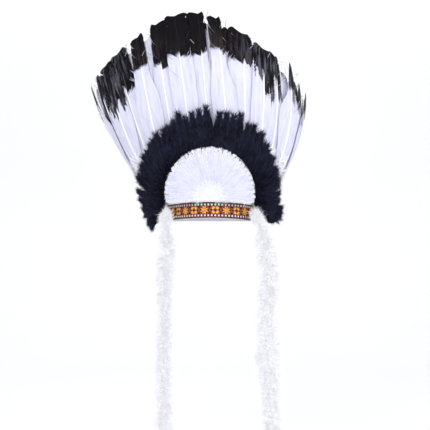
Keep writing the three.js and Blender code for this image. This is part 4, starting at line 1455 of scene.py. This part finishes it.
class HEADDRESS_OT_stage(bpy.types.Operator):
    """Builds the floor, the backdrop, the lights and the camera"""

    bl_idname = "headdress.stage"
    bl_label = "Stage"

    def execute(self, context):
        stage = context.scene.headdress_stage
        make_backdrop(stage)
        for name, (place, target, size) in LIGHTS.items():
            add_area_light(name + "_light", place, target, size, getattr(stage, name))
        world = bpy.data.worlds.new("studio")
        world.use_nodes = True
        context.scene.view_settings.view_transform = "Standard"
        sky = world.node_tree.nodes["Background"]
        sky.inputs["Color"].default_value = (1.0, 1.0, 1.0, 1)
        sky.inputs["Strength"].default_value = stage.world
        context.scene.world = world
        camera = bpy.data.objects.new("camera", bpy.data.cameras.new("camera"))
        camera.location = stage.camera_place
        camera.rotation_euler = (np.pi / 2, 0, 0)
        camera.data.lens = stage.lens
        camera.data.sensor_width = SENSOR_WIDTH
        context.scene.collection.objects.link(camera)
        context.scene.camera = camera
        return {"FINISHED"}


def make_backdrop(stage):
    """A pale sheet: level floor, a quarter circle up, then a wall, drawn as a profile on a path."""
    radius, depth = BACKDROP_BEND, BACKDROP_DEPTH
    bend = np.linspace(0, np.pi / 2, 24)
    floor_y = np.linspace(BACKDROP_NEAR, depth, 20)[:-1]
    wall_z = np.linspace(radius, BACKDROP_TOP, 20)[1:]
    profile = np.concatenate([
        np.stack([floor_y, 0 * floor_y], -1),
        np.stack([depth + radius * np.sin(bend), radius * (1 - np.cos(bend))], -1),
        np.stack([np.full(wall_z.shape, depth + radius), wall_z], -1),
    ])
    x = np.linspace(-BACKDROP_HALF_WIDTH, BACKDROP_HALF_WIDTH, 21)
    points = np.empty((1, len(x), len(profile), 3))
    points[0, ..., 0] = x[:, None]
    points[0, ..., 1:] = profile
    points[..., 2] -= stage.floor_drop
    f = Finish("backdrop")
    mottle = f.noise(f.place(), 3, 3)
    colour = f.mix(mottle, (0.82, 0.83, 0.85), (0.86, 0.87, 0.88))
    material = f.finish(colour, 0.85 + mottle * 0.1, f.bump(mottle, 0.001, 0.2))
    patchwork = Patchwork()
    patchwork.add_sheets(points, np.array([0.0, 0.0]))
    patchwork.build("backdrop", [material], sharp=False)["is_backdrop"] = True


def add_area_light(name, place, target, size, power):
    """A square light that faces a point."""
    data = bpy.data.lights.new(name, "AREA")
    data.energy, data.size = power, size
    light = bpy.data.objects.new(name, data)
    bpy.context.scene.collection.objects.link(light)
    way = unit(np.array(target, float) - np.array(place, float))
    light.location = place
    light.rotation_euler = (np.arccos(-way[2]), 0, np.arctan2(-way[0], way[1]))


class HEADDRESS_PT_panel(bpy.types.Panel):
    bl_idname = "HEADDRESS_PT_panel"
    bl_label = "Headdress"
    bl_space_type = "VIEW_3D"
    bl_region_type = "UI"
    bl_category = "Headdress"

    def draw(self, context):
        column = self.layout.column()
        for operator in OPERATORS:
            column.operator(operator.bl_idname)
        for group in ("headdress_sizes", "headdress_colours", "headdress_stage"):
            holder = getattr(context.scene, group)
            box = self.layout.box()
            for key in type(holder).__annotations__:
                box.prop(holder, key)


OPERATORS = [
    HEADDRESS_OT_cloth, HEADDRESS_OT_tall_feathers, HEADDRESS_OT_ruff, HEADDRESS_OT_crest,
    HEADDRESS_OT_drops, HEADDRESS_OT_stage,
]
GROUPS = {
    "headdress_sizes": HeaddressSizes,
    "headdress_colours": HeaddressColours,
    "headdress_stage": HeaddressStage,
}


def register():
    for group, kind in GROUPS.items():
        bpy.utils.register_class(kind)
        setattr(bpy.types.Scene, group, PointerProperty(type=kind))
    for kind in [*OPERATORS, HEADDRESS_PT_panel]:
        bpy.utils.register_class(kind)


def unregister():
    for kind in [HEADDRESS_PT_panel, *reversed(OPERATORS)]:
        bpy.utils.unregister_class(kind)
    for group, kind in reversed(GROUPS.items()):
        delattr(bpy.types.Scene, group)
        bpy.utils.unregister_class(kind)


def main():
    register()
    bpy.ops.headdress.cloth()
    bpy.ops.headdress.tall_feathers()
    bpy.ops.headdress.ruff()
    bpy.ops.headdress.crest()
    bpy.ops.headdress.drops()
    bpy.ops.headdress.stage()
    boxes = {"cad": CAD_BOX, "visual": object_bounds()}
    boxes = {key: [list(corner) for corner in box] for key, box in boxes.items()}


if __name__ == "__main__":
    main()
